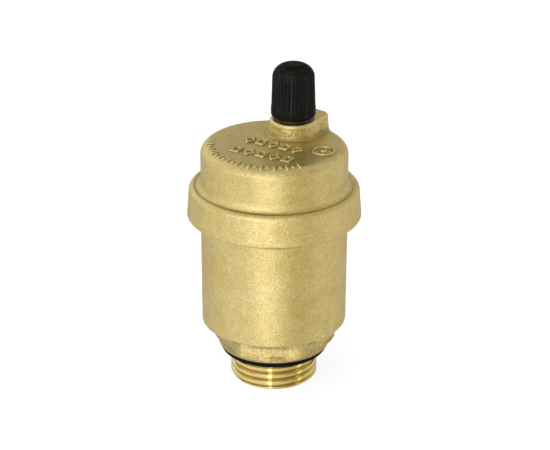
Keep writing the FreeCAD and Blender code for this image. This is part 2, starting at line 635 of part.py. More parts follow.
PIECES = {
    "body": body(),
    "cover": cover(),
    "cover_o_ring": torus(COVER_RING_R, COVER_RING_D, BODY_RIM_Z + 0.5 * COVER_RING_D + 0.005),
    "base_o_ring": torus(BASE_RING_R, BASE_RING_D, BASE_RING_Z),
    "nozzle": nozzle(),
    "nozzle_o_ring": torus(NOZ_RING_R, NOZ_RING_D, 0.5 * (NOZ_GROOVE_Z0 + NOZ_GROOVE_Z1),
                           VALVE_AXIS),
    "cap_seat_ring": cap_seat_ring(),
    "vent_cap": vent_cap(),
    "cap_seal": cap_seal(),
    "valve_stem": valve_stem(),
    "valve_pad": valve_pad(),
    "stem_clip": stem_groove_clip(LOW_GROOVE, r_out=1.5),
    "spring_retainer": spring_retainer(),
    "retainer_clip": stem_groove_clip(TOP_GROOVE, r_out=1.25),
    "valve_spring": valve_spring(),
    "lever_bracket": lever_bracket(),
    "lever": lever(),
    "lever_pin": lever_pin(),
    "lever_pin_clip": lever_pin_clip(),
    "float_shell": float_shell(),
    "float_lid": float_lid(),
    "float_hook": float_hook(),
}

os.makedirs("parts", exist_ok=True)
for name, shape in PIECES.items():
    shape.exportStep("parts/%s.step" % name)
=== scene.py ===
# Automatic air vent: a brass body and cover, a ribbed cap, seals, a nozzle and a spring, built
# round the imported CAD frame. The body stands on z = 0 with its axis on +Z; the valve line is
# parallel to it and off centre. The viewer is on the -Y side, with +X to the right.
# Shapes are worked out in millimetres and turned into metres when a mesh is made.
import math
import bpy
import numpy as np
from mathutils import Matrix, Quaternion, Vector


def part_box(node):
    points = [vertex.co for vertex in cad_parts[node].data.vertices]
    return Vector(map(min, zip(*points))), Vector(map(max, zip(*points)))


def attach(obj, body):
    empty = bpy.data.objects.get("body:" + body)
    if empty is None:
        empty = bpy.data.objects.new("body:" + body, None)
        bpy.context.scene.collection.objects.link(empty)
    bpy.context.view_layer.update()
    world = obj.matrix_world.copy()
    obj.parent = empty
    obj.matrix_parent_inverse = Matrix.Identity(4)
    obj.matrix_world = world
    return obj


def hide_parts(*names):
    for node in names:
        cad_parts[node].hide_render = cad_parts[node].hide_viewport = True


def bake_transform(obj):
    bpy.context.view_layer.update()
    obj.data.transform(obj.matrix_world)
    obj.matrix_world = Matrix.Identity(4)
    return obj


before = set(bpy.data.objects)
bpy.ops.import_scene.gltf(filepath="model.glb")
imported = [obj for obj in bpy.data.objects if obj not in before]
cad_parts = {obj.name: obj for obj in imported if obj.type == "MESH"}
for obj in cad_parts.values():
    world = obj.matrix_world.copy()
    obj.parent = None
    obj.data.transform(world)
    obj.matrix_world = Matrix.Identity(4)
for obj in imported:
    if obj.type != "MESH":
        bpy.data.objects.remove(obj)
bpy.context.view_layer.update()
MM = 0.001
TAU = math.tau

scene = bpy.context.scene
scene.view_settings.view_transform = "Standard"
scene.view_settings.look = "None"

# ------------------------------------------------------------- shared dimensions, mm
seat_lo, seat_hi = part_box("cap_seat_ring")
VALVE = (seat_lo + seat_hi) / 2 / MM         # a point on the valve line
VALVE_X, VALVE_Y = VALVE.x, VALVE.y
BOSS_ANGLE = math.radians(58.3)              # heading of the boss on the lid, from +X

TOP_THREAD_START = 42.7                      # a crest's height at angle 0
TOP_THREAD_PITCH = 1.0
TOP_THREAD_FORM = {"crest": 0.14, "root": 0.12}
VENT_PITCH = 0.794                           # both nozzle threads and the cap's
CAP_THREAD_START = 65.9
CURVE_REACH = 0.32                           # how far away a skin's bending is judged


# ---------------------------------------------------------------------- noise
def lattice(ix, iy, iz, seed):
    """A repeatable value in about -1..1 for every whole-number place."""
    h = (ix * 73856093) ^ (iy * 19349663) ^ (iz * 83492791) ^ (seed * 971)
    h &= 0x7FFFFFFF
    h = (h ^ (h >> 13)) * 1274126177
    h &= 0x7FFFFFFF
    h = (h ^ (h >> 15)) * 668265263
    h &= 0x7FFFFFFF
    h ^= h >> 14
    return (h & 0xFFFFF) / float(0x7FFFF) - 1.0


def noise3(points, size, seed):
    """Smooth value noise in about -1..1; points is (n, 3) in mm, size the feature size in mm."""
    q = np.asarray(points, float) / size + 1000.0
    i = np.floor(q).astype(np.int64)
    f = q - i
    f = f * f * f * (f * (f * 6 - 15) + 10)
    total = 0.0
    for dx, dy, dz in np.ndindex(2, 2, 2):
        wx = f[:, 0] if dx else 1 - f[:, 0]
        wy = f[:, 1] if dy else 1 - f[:, 1]
        wz = f[:, 2] if dz else 1 - f[:, 2]
        total = total + wx * wy * wz * lattice(i[:, 0] + dx, i[:, 1] + dy, i[:, 2] + dz, seed)
    return total


# waves of the forged skin: height, feature size
FORGED_WAVES = ((0.030, 7.0), (0.020, 2.6), (0.010, 1.1), (0.008, 0.55))


def forged(points, seed):
    """Height of a blasted forging's skin in mm, nearly always a little below nominal."""
    height = 0.0
    for k, (amount, size) in enumerate(FORGED_WAVES):
        height = height + amount * noise3(points, size, seed + k)
    pit = (noise3(points, size=1.3, seed=seed + 4) * 0.6
           + noise3(points, size=0.6, seed=seed + 5) * 0.5)
    height -= 0.07 * np.clip(pit - 0.62, 0, 1)
    return height - 0.030


# ------------------------------------------------------------- blending functions
def smoothstep(a, b, x):
    t = np.clip((x - a) / (b - a), 0, 1)
    return t * t * (3 - 2 * t)


def smooth_max(a, b, k):
    h = np.clip(0.5 + 0.5 * (a - b) / k, 0, 1)
    return b * (1 - h) + a * h + k * h * (1 - h)


def smooth_min(a, b, k):
    return -smooth_max(-a, -b, k)


def fillet_union(a, b, radius):
    """Union of two distances, with a fillet where they meet."""
    u = np.maximum(radius - a, 0)
    v = np.maximum(radius - b, 0)
    return np.maximum(radius, np.minimum(a, b)) - np.sqrt(u * u + v * v)


def round_meet(a, b, radius):
    """Intersection of two distances, with a rounded edge."""
    u = np.maximum(a + radius, 0)
    v = np.maximum(b + radius, 0)
    return np.minimum(-radius, np.maximum(a, b)) + np.sqrt(u * u + v * v)


def facing(degrees, centre, width):
    """A soft bell round one heading, 1 at its centre."""
    return np.exp(-(((degrees - centre + 180.0) % 360.0 - 180.0) / width) ** 2)


def thread_wave(turns, crest=0.16, root=0.12):
    """1 on a crest, 0 in a root; turns has a crest at each whole number."""
    t = np.abs((turns + 0.5) % 1.0 - 0.5) * 2.0
    h = np.clip((1 - root - t) / (1 - root - crest), 0, 1)
    return 0.45 * h * h * (3 - 2 * h) + 0.55 * h


def thread_turns(z, angles, start, pitch):
    return (z - start) / pitch - angles / TAU


# ----------------------------------------------------------------- mesh tools
def unit(vectors, floor=1e-9):
    return vectors / np.maximum(np.linalg.norm(vectors, axis=-1, keepdims=True), floor)


def full_turn(count):
    return TAU * np.arange(count) / count


def revolve(radius, z, angles):
    """Points round +Z; radius and z are single values or columns of rows."""
    x = radius * np.cos(angles)
    y = radius * np.sin(angles)
    return np.stack([x, y, np.broadcast_to(z, x.shape)], -1)


def grid_mesh(grid, ends=None):
    """Points and faces of a (rows, columns, 3) grid closed round its columns. Without ends the
    rows close up too; with two end points each open end becomes a fan."""
    rows, cols = grid.shape[:2]
    points = grid.reshape(-1, 3)
    I, J = np.meshgrid(np.arange(rows if ends is None else rows - 1), np.arange(cols),
                       indexing="ij")
    J2 = (J + 1) % cols
    I2 = (I + 1) % rows
    corners = [I * cols + J, I * cols + J2, I2 * cols + J2, I2 * cols + J]
    faces = np.stack(corners, -1).reshape(-1, 4).tolist()
    if ends is not None:
        first = len(points)
        base = first - cols
        faces += [[first, (k + 1) % cols, k] for k in range(cols)]
        faces += [[first + 1, base + k, base + (k + 1) % cols] for k in range(cols)]
        points = np.concatenate([points, ends])
    return points, faces


def outward(points, faces):
    """Faces turned outward, by the sign of the enclosed volume."""
    tri = np.array([[f[0], f[1], f[2]] for f in faces]
                   + [[f[0], f[2], f[3]] for f in faces if len(f) == 4])
    a, b, c = (points[tri[:, k]] for k in range(3))
    if np.einsum("ij,ij->i", a, np.cross(b, c)).sum() < 0:
        faces = [f[::-1] for f in faces]
    return faces


def add_piece(name, points, faces, materials, material_index=None, attributes=None):
    """A smooth-shaded object from points in mm."""
    points = points * MM
    mesh = bpy.data.meshes.new(name)
    mesh.from_pydata(points.tolist(), [], outward(points, faces))
    mesh.validate()
    for material in materials:
        mesh.materials.append(material)
    if material_index is not None:
        mesh.polygons.foreach_set("material_index", np.asarray(material_index, np.int32))
    mesh.polygons.foreach_set("use_smooth", np.full(len(mesh.polygons), True, bool))
    mesh.update()
    piece = bpy.data.objects.new(name, mesh)
    scene.collection.objects.link(piece)
    for key, values in (attributes or {}).items():
        layer = mesh.attributes.new(key, "FLOAT", "POINT")
        layer.data.foreach_set("value", values.ravel().astype(np.float32))
    return piece


def register(piece, body, node):
    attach(piece, body)
    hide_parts(node)


def grid_normals(grid):
    """Unit normals of a grid closed round its columns, all to the same side."""
    down = np.gradient(grid, axis=0)
    across = np.roll(grid, -1, 1) - np.roll(grid, 1, 1)
    return unit(np.cross(across, down), 1e-12)


def grid_curve(grid, normals, reach):
    """How sharply the skin bends within reach: + on convex edges, - in hollows."""
    total = np.zeros(grid.shape[:2])
    rows = grid.shape[0]
    lengths = np.linalg.norm(np.diff(grid, axis=0), axis=2).mean(1)
    s = np.concatenate([[0], np.cumsum(lengths)])
    for offset in (reach, -reach):
        x = np.clip(s + offset, s[0], s[-1])
        i = np.clip(np.searchsorted(s, x) - 1, 0, rows - 2)
        f = ((x - s[i]) / np.maximum(s[i + 1] - s[i], 1e-9))[:, None, None]
        q = grid[i] * (1 - f) + grid[i + 1] * f
        total += np.einsum("ijk,ijk->ij", q - grid, normals) / reach
    step = np.maximum(np.linalg.norm(np.roll(grid, -2, 1) - grid, axis=2), 1e-6)
    for k in (2, -2):
        rise = np.einsum("ijk,ijk->ij", np.roll(grid, k, 1) - grid, normals)
        total += rise / step * reach / step
    total /= 4.0
    # the widest row tells which side the normals point to
    radial = unit(grid[..., :2])
    wall = np.argmax(grid[:, 0, 0])
    side = np.sign(np.einsum("jk,jk->j", normals[wall][:, :2], radial[wall]).mean())
    return -total * side


def outline_rows(segments):
    """Stations (r, z, tag) along an outline. A segment is one of
    (tag, points), (tag, step, r, z) for a line to there, or
    (tag, step, centre r, centre z, radius, from angle, to angle) for an arc in degrees."""
    rows = []
    for tag, *data in segments:
        if len(data) == 1:
            points = data[0]
            end = points[-1]
        elif len(data) == 3:
            step, r, z = data
            dr, dz = r - end[0], z - end[1]
            count = max(1, math.ceil(math.hypot(dr, dz) / step))
            points = [(end[0] + dr * (k / count), end[1] + dz * (k / count))
                      for k in range(1, count + 1)]
            end = (r, z)
        else:
            step, r, z, radius, a0, a1 = data
            count = max(2, math.ceil(abs(math.radians(a1 - a0)) * radius / step))
            points = oval(r, z, radius, radius, a0, a1, count)
            end = points[-1]
        rows += [(r, z, tag) for r, z in points]
    return rows


def oval(r, z, half_r, half_z, a0, a1, count):
    """Points of an elliptical arc between two angles in degrees, the first one left out."""
    turns = [math.radians(a0 + (a1 - a0) * k / count) for k in range(1, count + 1)]
    return [(r + half_r * math.cos(a), z + half_z * math.sin(a)) for a in turns]


# ------------------------------------------------------------------ materials
class Nodes:
    """Short calls for building one node tree; each returns an output socket."""

    def __init__(self, owner):
        owner.use_nodes = True
        self.tree = owner.node_tree
        self.tree.nodes.clear()

    def new(self, kind, **settings):
        node = self.tree.nodes.new(kind)
        for key, value in settings.items():
            setattr(node, key, value)
        return node

    def feed(self, socket, value):
        """Link a socket, or set its number or RGB colour."""
        if isinstance(value, bpy.types.NodeSocket):
            self.tree.links.new(value, socket)
        elif isinstance(value, tuple):
            socket.default_value = (*value, 1)
        else:
            socket.default_value = value

    def feed_all(self, node, inputs):
        for key, value in inputs.items():
            self.feed(node.inputs[key], value)

    def source(self, kind, output):
        return self.new(kind).outputs[output]

    def coords(self):
        return self.source("ShaderNodeTexCoord", "Object")

    def pointiness(self):
        return self.source("ShaderNodeNewGeometry", "Pointiness")

    def attribute(self, name):
        return self.new("ShaderNodeAttribute", attribute_name=name).outputs["Fac"]

    def mapped(self, coords, **inputs):
        node = self.new("ShaderNodeMapping")
        for key, value in inputs.items():
            node.inputs[key].default_value = value
        self.feed(node.inputs["Vector"], coords)
        return node.outputs["Vector"]

    def split(self, vector):
        node = self.new("ShaderNodeSeparateXYZ")
        self.feed(node.inputs["Vector"], vector)
        return node.outputs

    def noise(self, coords, scale, detail=3.0, roughness=0.55):
        node = self.new("ShaderNodeTexNoise")
        self.feed_all(node, {"Vector": coords, "Scale": scale, "Detail": detail,
                             "Roughness": roughness})
        return node.outputs["Fac"]

    def ramp(self, value, stops, interpolation="LINEAR"):
        """stops are (position, grey or RGB)."""
        node = self.new("ShaderNodeValToRGB")
        node.color_ramp.interpolation = interpolation
        elements = node.color_ramp.elements
        while len(elements) < len(stops):
            elements.new(0.5)
        for element, (position, colour) in zip(elements, stops):
            element.position = position
            element.color = (*colour, 1) if isinstance(colour, tuple) else (*[colour] * 3, 1)
        self.feed(node.inputs["Fac"], value)
        return node.outputs["Color"]

    def mix(self, factor, first, second, mode="MIX"):
        node = self.new("ShaderNodeMix", data_type="RGBA", blend_type=mode)
        # 0, 6 and 7 are the factor and the two colours; output 2 is the colour
        for k, value in ((0, factor), (6, first), (7, second)):
            self.feed(node.inputs[k], value)
        return node.outputs[2]

    def calc(self, operation, first, second=None, clamp=False):
        node = self.new("ShaderNodeMath", operation=operation, use_clamp=clamp)
        self.feed(node.inputs[0], first)
        if second is not None:
            self.feed(node.inputs[1], second)
        return node.outputs[0]

    def times(self, first, second, clamp=False):
        return self.calc("MULTIPLY", first, second, clamp)

    def scaled(self, value, gain, offset):
        return self.calc("ADD", self.times(value, gain), offset)

    def tint(self, colour, mask, amount, to):
        """Pull a colour towards another where the mask is 1."""
        return self.mix(self.times(mask, amount), colour, to)

    def bump(self, height, strength, distance, over=None):
        node = self.new("ShaderNodeBump")
        self.feed_all(node, {"Height": height, "Strength": strength, "Distance": distance})
        if over is not None:
            self.feed(node.inputs["Normal"], over)
        return node.outputs["Normal"]


def new_material(name):
    """A material with a Principled shader: (material, nodes, shader)."""
    material = bpy.data.materials.new(name)
    nodes = Nodes(material)
    output = nodes.new("ShaderNodeOutputMaterial")
    shader = nodes.new("ShaderNodeBsdfPrincipled")
    nodes.feed(output.inputs["Surface"], shader.outputs["BSDF"])
    return material, nodes, shader


def make_forged_brass():
    material, n, shader = new_material("forged_brass")
    co = n.coords()
    big = n.noise(co, scale=140, detail=2.0)
    mid = n.noise(co, scale=520, roughness=0.6)
    fine = n.noise(co, scale=2300, roughness=0.65)
    grit = n.noise(co, scale=5200, detail=2.0, roughness=0.6)
    tone = n.calc("ADD", n.times(big, 0.45), n.times(mid, 0.55))
    col = n.ramp(tone, stops=[(0.32, (0.70, 0.545, 0.225)), (0.50, (0.77, 0.62, 0.285)),
                              (0.68, (0.83, 0.685, 0.335))])
    # worn edges are cleaner and paler, hollows keep oxide
    curve = n.attribute("curve")
    edge = n.ramp(curve, stops=[(0.04, 0.0), (0.20, 1.0)])
    hollow = n.ramp(n.times(curve, -1.0), stops=[(0.03, 0.0), (0.22, 1.0)])
    col = n.tint(col, edge, amount=0.45, to=(0.93, 0.80, 0.47))
    col = n.tint(col, hollow, amount=0.55, to=(0.40, 0.28, 0.085))
    # small dark pits, only in patches
    cells = n.new("ShaderNodeTexVoronoi")
    n.feed_all(cells, {"Vector": co, "Scale": 520})
    spots = n.ramp(cells.outputs["Distance"], stops=[(0.07, 1.0), (0.17, 0.0)])
    patches = n.ramp(n.noise(co, scale=300, detail=2.0), stops=[(0.53, 0.0), (0.60, 1.0)])
    pit = n.times(spots, patches)
    col = n.tint(col, pit, amount=0.55, to=(0.33, 0.22, 0.07))
    # oxide and specks
    oxide = n.ramp(fine, stops=[(0.38, 1.0), (0.56, 0.0)])
    col = n.tint(col, oxide, amount=0.22, to=(0.52, 0.37, 0.12))
    speck = n.noise(co, scale=2600, detail=2.0, roughness=0.6)
    col = n.mix(1.0, col, n.ramp(speck, stops=[(0.32, 0.84), (0.68, 1.13)]), mode="MULTIPLY")
    # painted shade: the grime attribute, broken up by noise, pulls the colour to dark brown
    grime = n.times(n.attribute("grime"), n.ramp(fine, stops=[(0.30, 1.0), (0.70, 0.72)]),
                    clamp=True)
    col = n.mix(grime, col, (0.15, 0.10, 0.022))
    # rougher where shade is painted, smoother on worn edges
    rough = n.scaled(mid, gain=0.14, offset=0.27)
    rough = n.calc("ADD", rough, n.times(grime, 0.15))
    rough = n.calc("SUBTRACT", rough, n.times(edge, 0.06))
    normal = n.bump(mid, strength=0.40, distance=0.00018)
    normal = n.bump(fine, strength=0.85, distance=0.00010, over=normal)
    normal = n.bump(grit, strength=0.80, distance=0.00005, over=normal)
    normal = n.bump(n.times(pit, -1.0), strength=0.6, distance=0.00008, over=normal)
    n.feed_all(shader, {"Base Color": col, "Metallic": 1.0, "Roughness": rough,
                        "Normal": normal})
    return material


def make_turned_brass(name, axis_x, axis_y, roughness):
    """Brass turned round an upright axis at (axis_x, axis_y) mm."""
    material, n, shader = new_material(name)
    co = n.coords()
    # tool marks run round the turning axis: noise in (radius, z) only
    place = n.split(n.mapped(co, Location=(-axis_x * MM, -axis_y * MM, 0)))
    square = n.calc("ADD", n.calc("POWER", place["X"], 2.0), n.calc("POWER", place["Y"], 2.0))
    profile = n.new("ShaderNodeCombineXYZ")
    n.feed_all(profile, {"X": n.calc("SQRT", square), "Z": place["Z"]})
    lines = n.noise(profile.outputs["Vector"], scale=9000, detail=2.0, roughness=0.6)
    mid = n.noise(co, scale=420, roughness=0.6)
    fine = n.noise(co, scale=2600, roughness=0.6)
    point = n.pointiness()
    edge = n.ramp(point, stops=[(0.515, 0.0), (0.57, 1.0)])
    hollow = n.ramp(point, stops=[(0.42, 1.0), (0.49, 0.0)])
    stain = n.ramp(fine, stops=[(0.38, 1.0), (0.5, 0.0)])
    col = n.ramp(mid, stops=[(0.32, (0.77, 0.60, 0.235)), (0.66, (0.86, 0.70, 0.32))])
    col = n.tint(col, edge, amount=0.5, to=(0.97, 0.84, 0.50))
    col = n.tint(col, hollow, amount=0.5, to=(0.50, 0.34, 0.10))
    col = n.tint(col, stain, amount=0.12, to=(0.45, 0.30, 0.10))
    # painted shade: the grime attribute pulls the colour to dark brown, in the thread roots
    col = n.mix(n.attribute("grime"), col, (0.22, 0.125, 0.018))
    normal = n.bump(lines, strength=0.35, distance=0.00002)
    normal = n.bump(fine, strength=0.22, distance=0.00002, over=normal)
    n.feed_all(shader, {"Base Color": col, "Metallic": 1.0,
                        "Roughness": n.scaled(mid, gain=0.10, offset=roughness),
                        "Normal": normal})
    return material


def make_plastic(name, base, light, specular, roughness, grain_scale, mottle_scale=330,
                 square_on=1.0):
    """Plastic or rubber mottled from base to light. roughness is (least, most); square_on
    is the share of specular at the high end of the Facing ramp."""
    material, n, shader = new_material(name)
    co = n.coords()
    mid = n.noise(co, scale=mottle_scale, roughness=0.6)
    fine = n.noise(co, scale=grain_scale, roughness=0.6)
    edge = n.ramp(n.pointiness(), stops=[(0.515, 0.0), (0.60, 1.0)])
    dust = n.ramp(fine, stops=[(0.60, 0.0), (0.74, 1.0)])
    col = n.mix(n.ramp(mid, stops=[(0.35, 0.0), (0.7, 1.0)]), base, light)
    col = n.tint(col, dust, amount=0.05, to=(0.35, 0.35, 0.34))
    col = n.tint(col, edge, amount=0.12, to=(0.16, 0.165, 0.17))
    weight = n.new("ShaderNodeLayerWeight")
    n.feed_all(weight, {"Blend": 0.5})
    shine = n.ramp(weight.outputs["Facing"],
                   stops=[(0.20, specular), (0.52, specular * square_on)])
    least, most = roughness
    normal = n.bump(fine, strength=0.30, distance=0.00003)
    normal = n.bump(mid, strength=0.12, distance=0.00008, over=normal)
    n.feed_all(shader, {"Base Color": col, "Specular IOR Level": shine,
                        "Roughness": n.scaled(mid, gain=most - least, offset=least),
                        "Normal": normal})
    return material


def make_steel():
    material, n, shader = new_material("stainless_steel")
    co = n.coords()
    # brushed along the boss's heading
    brushed = n.mapped(co, Rotation=(0, 0, -BOSS_ANGLE), Scale=(1.0, 14.0, 14.0))
    lines = n.noise(brushed, scale=900, roughness=0.6)
    mid = n.noise(co, scale=600, roughness=0.6)
    edge = n.ramp(n.pointiness(), stops=[(0.515, 0.0), (0.58, 1.0)])
    col = n.ramp(mid, stops=[(0.3, (0.50, 0.50, 0.49)), (0.7, (0.66, 0.655, 0.64))])
    col = n.tint(col, edge, amount=0.5, to=(0.85, 0.85, 0.84))
    n.feed_all(shader, {"Base Color": col, "Metallic": 1.0,
                        "Roughness": n.scaled(lines, gain=0.22, offset=0.22),
                        "Normal": n.bump(lines, strength=0.3, distance=0.00002)})
    return material


FORGED_BRASS = make_forged_brass()
TURNED_BRASS = make_turned_brass("turned_brass", axis_x=0.0, axis_y=0.0, roughness=0.065)
NOZZLE_BRASS = make_turned_brass("nozzle_brass", axis_x=VALVE_X, axis_y=VALVE_Y, roughness=0.12)
CAP_PLASTIC = make_plastic(
    "cap_plastic", base=(0.0012, 0.0014, 0.0016), light=(0.0024, 0.0027, 0.0029),
    specular=0.17, roughness=(0.10, 0.24), grain_scale=2600, square_on=0.12)
RUBBER = make_plastic(
    "black_rubber", base=(0.0022, 0.0016, 0.0013), light=(0.0042, 0.0032, 0.0026),
    specular=0.08, roughness=(0.42, 0.60), grain_scale=3200, mottle_scale=528, square_on=0.3)
SEAT_RUBBER = make_plastic(
    "seat_rubber", base=(0.0050, 0.0028, 0.0014), light=(0.0080, 0.0045, 0.0024),
    specular=0.5, roughness=(0.10, 0.22), grain_scale=3200, mottle_scale=528)
FLOAT_PLASTIC = make_plastic(
    "float_polypropylene", base=(0.62, 0.61, 0.56), light=(0.72, 0.71, 0.66),
    specular=0.45, roughness=(0.30, 0.45), grain_scale=1500)
STEEL = make_steel()


# ----------------------------------------------------------------------- body
BODY_COLUMNS = 640
BASE_PITCH = 1.814
BASE_THREAD_START = 1.92         # a crest's height on the -Y side
BASE_ROOT, BASE_CREST = 9.62, 10.478
SHANK_RADIUS = 10.3
RUNOUT_Z = (6.55, 7.35)          # where the base thread fades into the shank
HEX_FLAT_AT = -92.0              # heading of one flat, degrees
HEX_FLAT_RADIUS = 13.06
HEX_CORNER_RADIUS = 15.04
FORGED_TAGS = ("hex", "bowl", "wall", "rim")

# the body's closed section, up the outside and down the bore; see outline_rows
BODY_OUTLINE = [
    ("in", [(7.0, 0.45)]), ("in", 0.2, 7.25, 0.12), ("in", 0.2, 7.45, 0.0),
    ("end", 0.35, 9.55, 0.0), ("end", 0.1, 9.75, 0.06),
    ("thread", 0.085, 10.4, 7.60),
    ("shank", 0.1, 10.3, 7.8), ("shank", 0.5, 10.3, 9.63), ("shank", 0.1, 10.4, 9.70),
    ("shank", 0.5, 12.9, 9.70), ("shank", 0.1, 13.0, 9.6), ("shank", 0.3, 13.0, 9.0),
    ("shank", 0.08, 13.04, 8.88),
    ("rim", 0.08, 13.15, 8.83), ("rim", 0.09, 13.15, 9.18, 0.35, -90, 0),
    ("hex", 0.10, 13.5, 13.75),
    ("bowl", [(12.9, 13.78)] + oval(13.5, 13.78, 0.6, 0.62, 180, 90, 10)),
    ("bowl", 0.11, 13.89, 14.50), ("bowl", oval(13.89, 15.6, 3.5, 1.1, -90, 0, 34)),
    ("wall", 0.30, 17.51, 41.35), ("wall", 0.08, 17.26, 41.35, 0.25, 0, 90),
    ("top", 0.1, 16.9, 41.75), ("top_thread", 0.13, 16.9, 46.0),
    ("top", 0.12, 16.5, 46.3), ("top", 0.3, 15.75, 46.3),
    ("in", 0.15, 15.5, 46.1), ("in", 0.9, 15.5, 17.9), ("in", 0.35, 14.0, 17.9, 1.5, 0, -90),
    ("in", 0.8, 7.9, 16.4), ("in", 0.25, 7.9, 15.5, 0.9, 90, 180), ("in", 0.8, 7.0, 0.6)]


def base_thread_radius(z, angles):
    turns = thread_turns(z, angles + math.pi / 2, BASE_THREAD_START, BASE_PITCH)
    radius = BASE_ROOT + (BASE_CREST - BASE_ROOT) * thread_wave(turns, crest=0.40, root=0.06)
    lead_in = 9.75 + (z - 0.03) * 1.05
    radius = smooth_min(radius, lead_in, 0.12)
    if z < RUNOUT_Z[1]:
        filled = BASE_ROOT + (SHANK_RADIUS - BASE_ROOT) * smoothstep(*RUNOUT_Z, z)
        radius = np.maximum(radius, filled)
    else:
        radius = SHANK_RADIUS
    return np.minimum(radius, BASE_CREST - (BASE_CREST - SHANK_RADIUS) * smoothstep(7.0, 7.4, z))


def hex_zone_radius(z, hexagon, cone_z):
    """A flared collar that the hexagon grows out of through a cone."""
    up = min(max((z - 9.72) / 1.35, 0.0), 1.0)
    collar = 13.02 + 0.50 * (1 - up) ** 1.25 - 0.6 * smoothstep(11.0, 12.0, z)
    cone = 13.52 + np.maximum(z - cone_z, -0.2) / 0.58
    return smooth_max(collar, smooth_min(hexagon, cone, 0.16), 0.12)


def body_grime(grid, R, Z, tags, hexagon, angles):
    """How much shade is painted on every point of the body, 0 none to 1 full."""
    def tagged(*names):
        return np.isin(tags, names)[:, None]

    q = grid.reshape(-1, 3)
    broad = noise3(q, size=2.4, seed=41).reshape(R.shape)
    fine = noise3(q, size=0.55, seed=42).reshape(R.shape)
    # painted shadow under the bowl, above the flats
    lipped = smoothstep(14.6, 13.5, hexagon)[None, :] * tagged("hex", "bowl")
    grime = (0.46 * lipped * smoothstep(12.35, 12.65, Z + 0.12 * broad)
             * (1 - smoothstep(14.30, 14.55, Z)))
    # painted shade, more towards the collar's foot and mottled, with a broken dark line round it
    low = tagged("hex", "rim") * 1.0
    grime += low * (0.17 + smoothstep(11.1, 9.7, Z) * 0.24)
    ledge = 10.30 + 0.14 * broad
    breaks = noise3(q * [1, 1, 0.2], size=5.2, seed=43).reshape(R.shape)
    grime += (low * 0.40 * np.exp(-((Z - ledge) / 0.13) ** 2)
              * smoothstep(-0.15, 0.25, breaks))
    grime += low * 0.30 * np.clip(fine, -0.2, 1) + low * 0.12 * broad
    # painted shade in the thread roots
    grime += 0.50 * np.clip((10.2 - R) / 0.5, 0, 1) * tagged("thread")
    # painted shade along the seam below the cover, deepest at the front and back
    arch = smoothstep(0.0, 0.12, Z - 41.95 + 1.26 * np.abs(np.sin(angles))[None, :])
    seam = (tagged("wall", "top", "top_thread") * (R > 16.6)
            * np.maximum(smoothstep(41.40, 41.50, Z), 0.80 * arch) * (Z < 43.0))
    return np.clip(grime + seam, 0, 1)


def build_body():
    angles = full_turn(BODY_COLUMNS)
    degrees = np.degrees(angles)
    off_flat = (degrees - HEX_FLAT_AT + 30.0) % 60.0 - 30.0
    hexagon = smooth_min(HEX_FLAT_RADIUS / np.cos(np.radians(off_flat)), HEX_CORNER_RADIUS, 1.1)
    left = facing(degrees, centre=187.0, width=40.0)
    cone_z = 9.30 - 0.28 * facing(degrees, centre=-8.0, width=16.0) + 0.30 * left

    rows = outline_rows(BODY_OUTLINE)
    R = np.zeros((len(rows), BODY_COLUMNS))
    Z = np.zeros_like(R)
    for i, (r, z, tag) in enumerate(rows):
        R[i], Z[i] = r, z
        if tag == "thread":
            R[i] = base_thread_radius(z, angles)
        elif tag == "hex":
            R[i] = hex_zone_radius(z, hexagon, cone_z)
        elif tag == "bowl":
            R[i] = smooth_max(r, hexagon, 0.22)
        elif tag == "top_thread":
            turns = thread_turns(z, angles, TOP_THREAD_START, TOP_THREAD_PITCH)
            R[i] = 16.89 + 0.58 * thread_wave(turns, **TOP_THREAD_FORM) * smoothstep(
                41.9, 42.3, z) * (1 - smoothstep(45.5, 45.95, z))
        if tag in ("hex", "bowl", "wall"):
            # the bowl's lower edge hangs a little lower on the left
            Z[i] -= 0.45 * left * smoothstep(11.6, 13.6, z) * (1 - smoothstep(14.6, 17.0, z))
    grid = revolve(R, Z, angles)
    normals = grid_normals(grid)
    curve = grid_curve(grid, normals, CURVE_REACH)
    tags = np.array([tag for _, _, tag in rows])
    grime = body_grime(grid, R, Z, tags, hexagon, angles)

    # forged skin, fading out towards machined faces
    is_forged = np.isin(tags, FORGED_TAGS)
    weight = np.convolve(np.pad(is_forged * 1.0, 3, mode="edge"), np.ones(7) / 7, "valid")
    weight = weight * is_forged
    rough = weight > 0
    skin, out = grid[rough], normals[rough]
    height = forged(skin.reshape(-1, 3), seed=11).reshape(skin.shape[:2])
    side = np.sign((out[..., 0] * skin[..., 0] + out[..., 1] * skin[..., 1]).mean())
    grid[rough] += out * side * (height * weight[rough][:, None])[..., None]

    points, faces = grid_mesh(grid)
    turned = ~is_forged & ~np.roll(is_forged, -1)
    piece = add_piece("body_forging", points, faces, [FORGED_BRASS, TURNED_BRASS],
                      np.repeat(turned, BODY_COLUMNS), {"curve": curve, "grime": grime})
    register(piece, "housing", "body")


# ---------------------------------------------------------------------- cover
COVER_CELL = 0.2                 # grid spacing the cover is meshed on
BOSS_RADIUS = 5.72
BOSS_TOP = 63.8
NOZZLE_HOLE_RADIUS = 3.96
RELIEF_EDGE = 0.16               # rounding of raised ornament

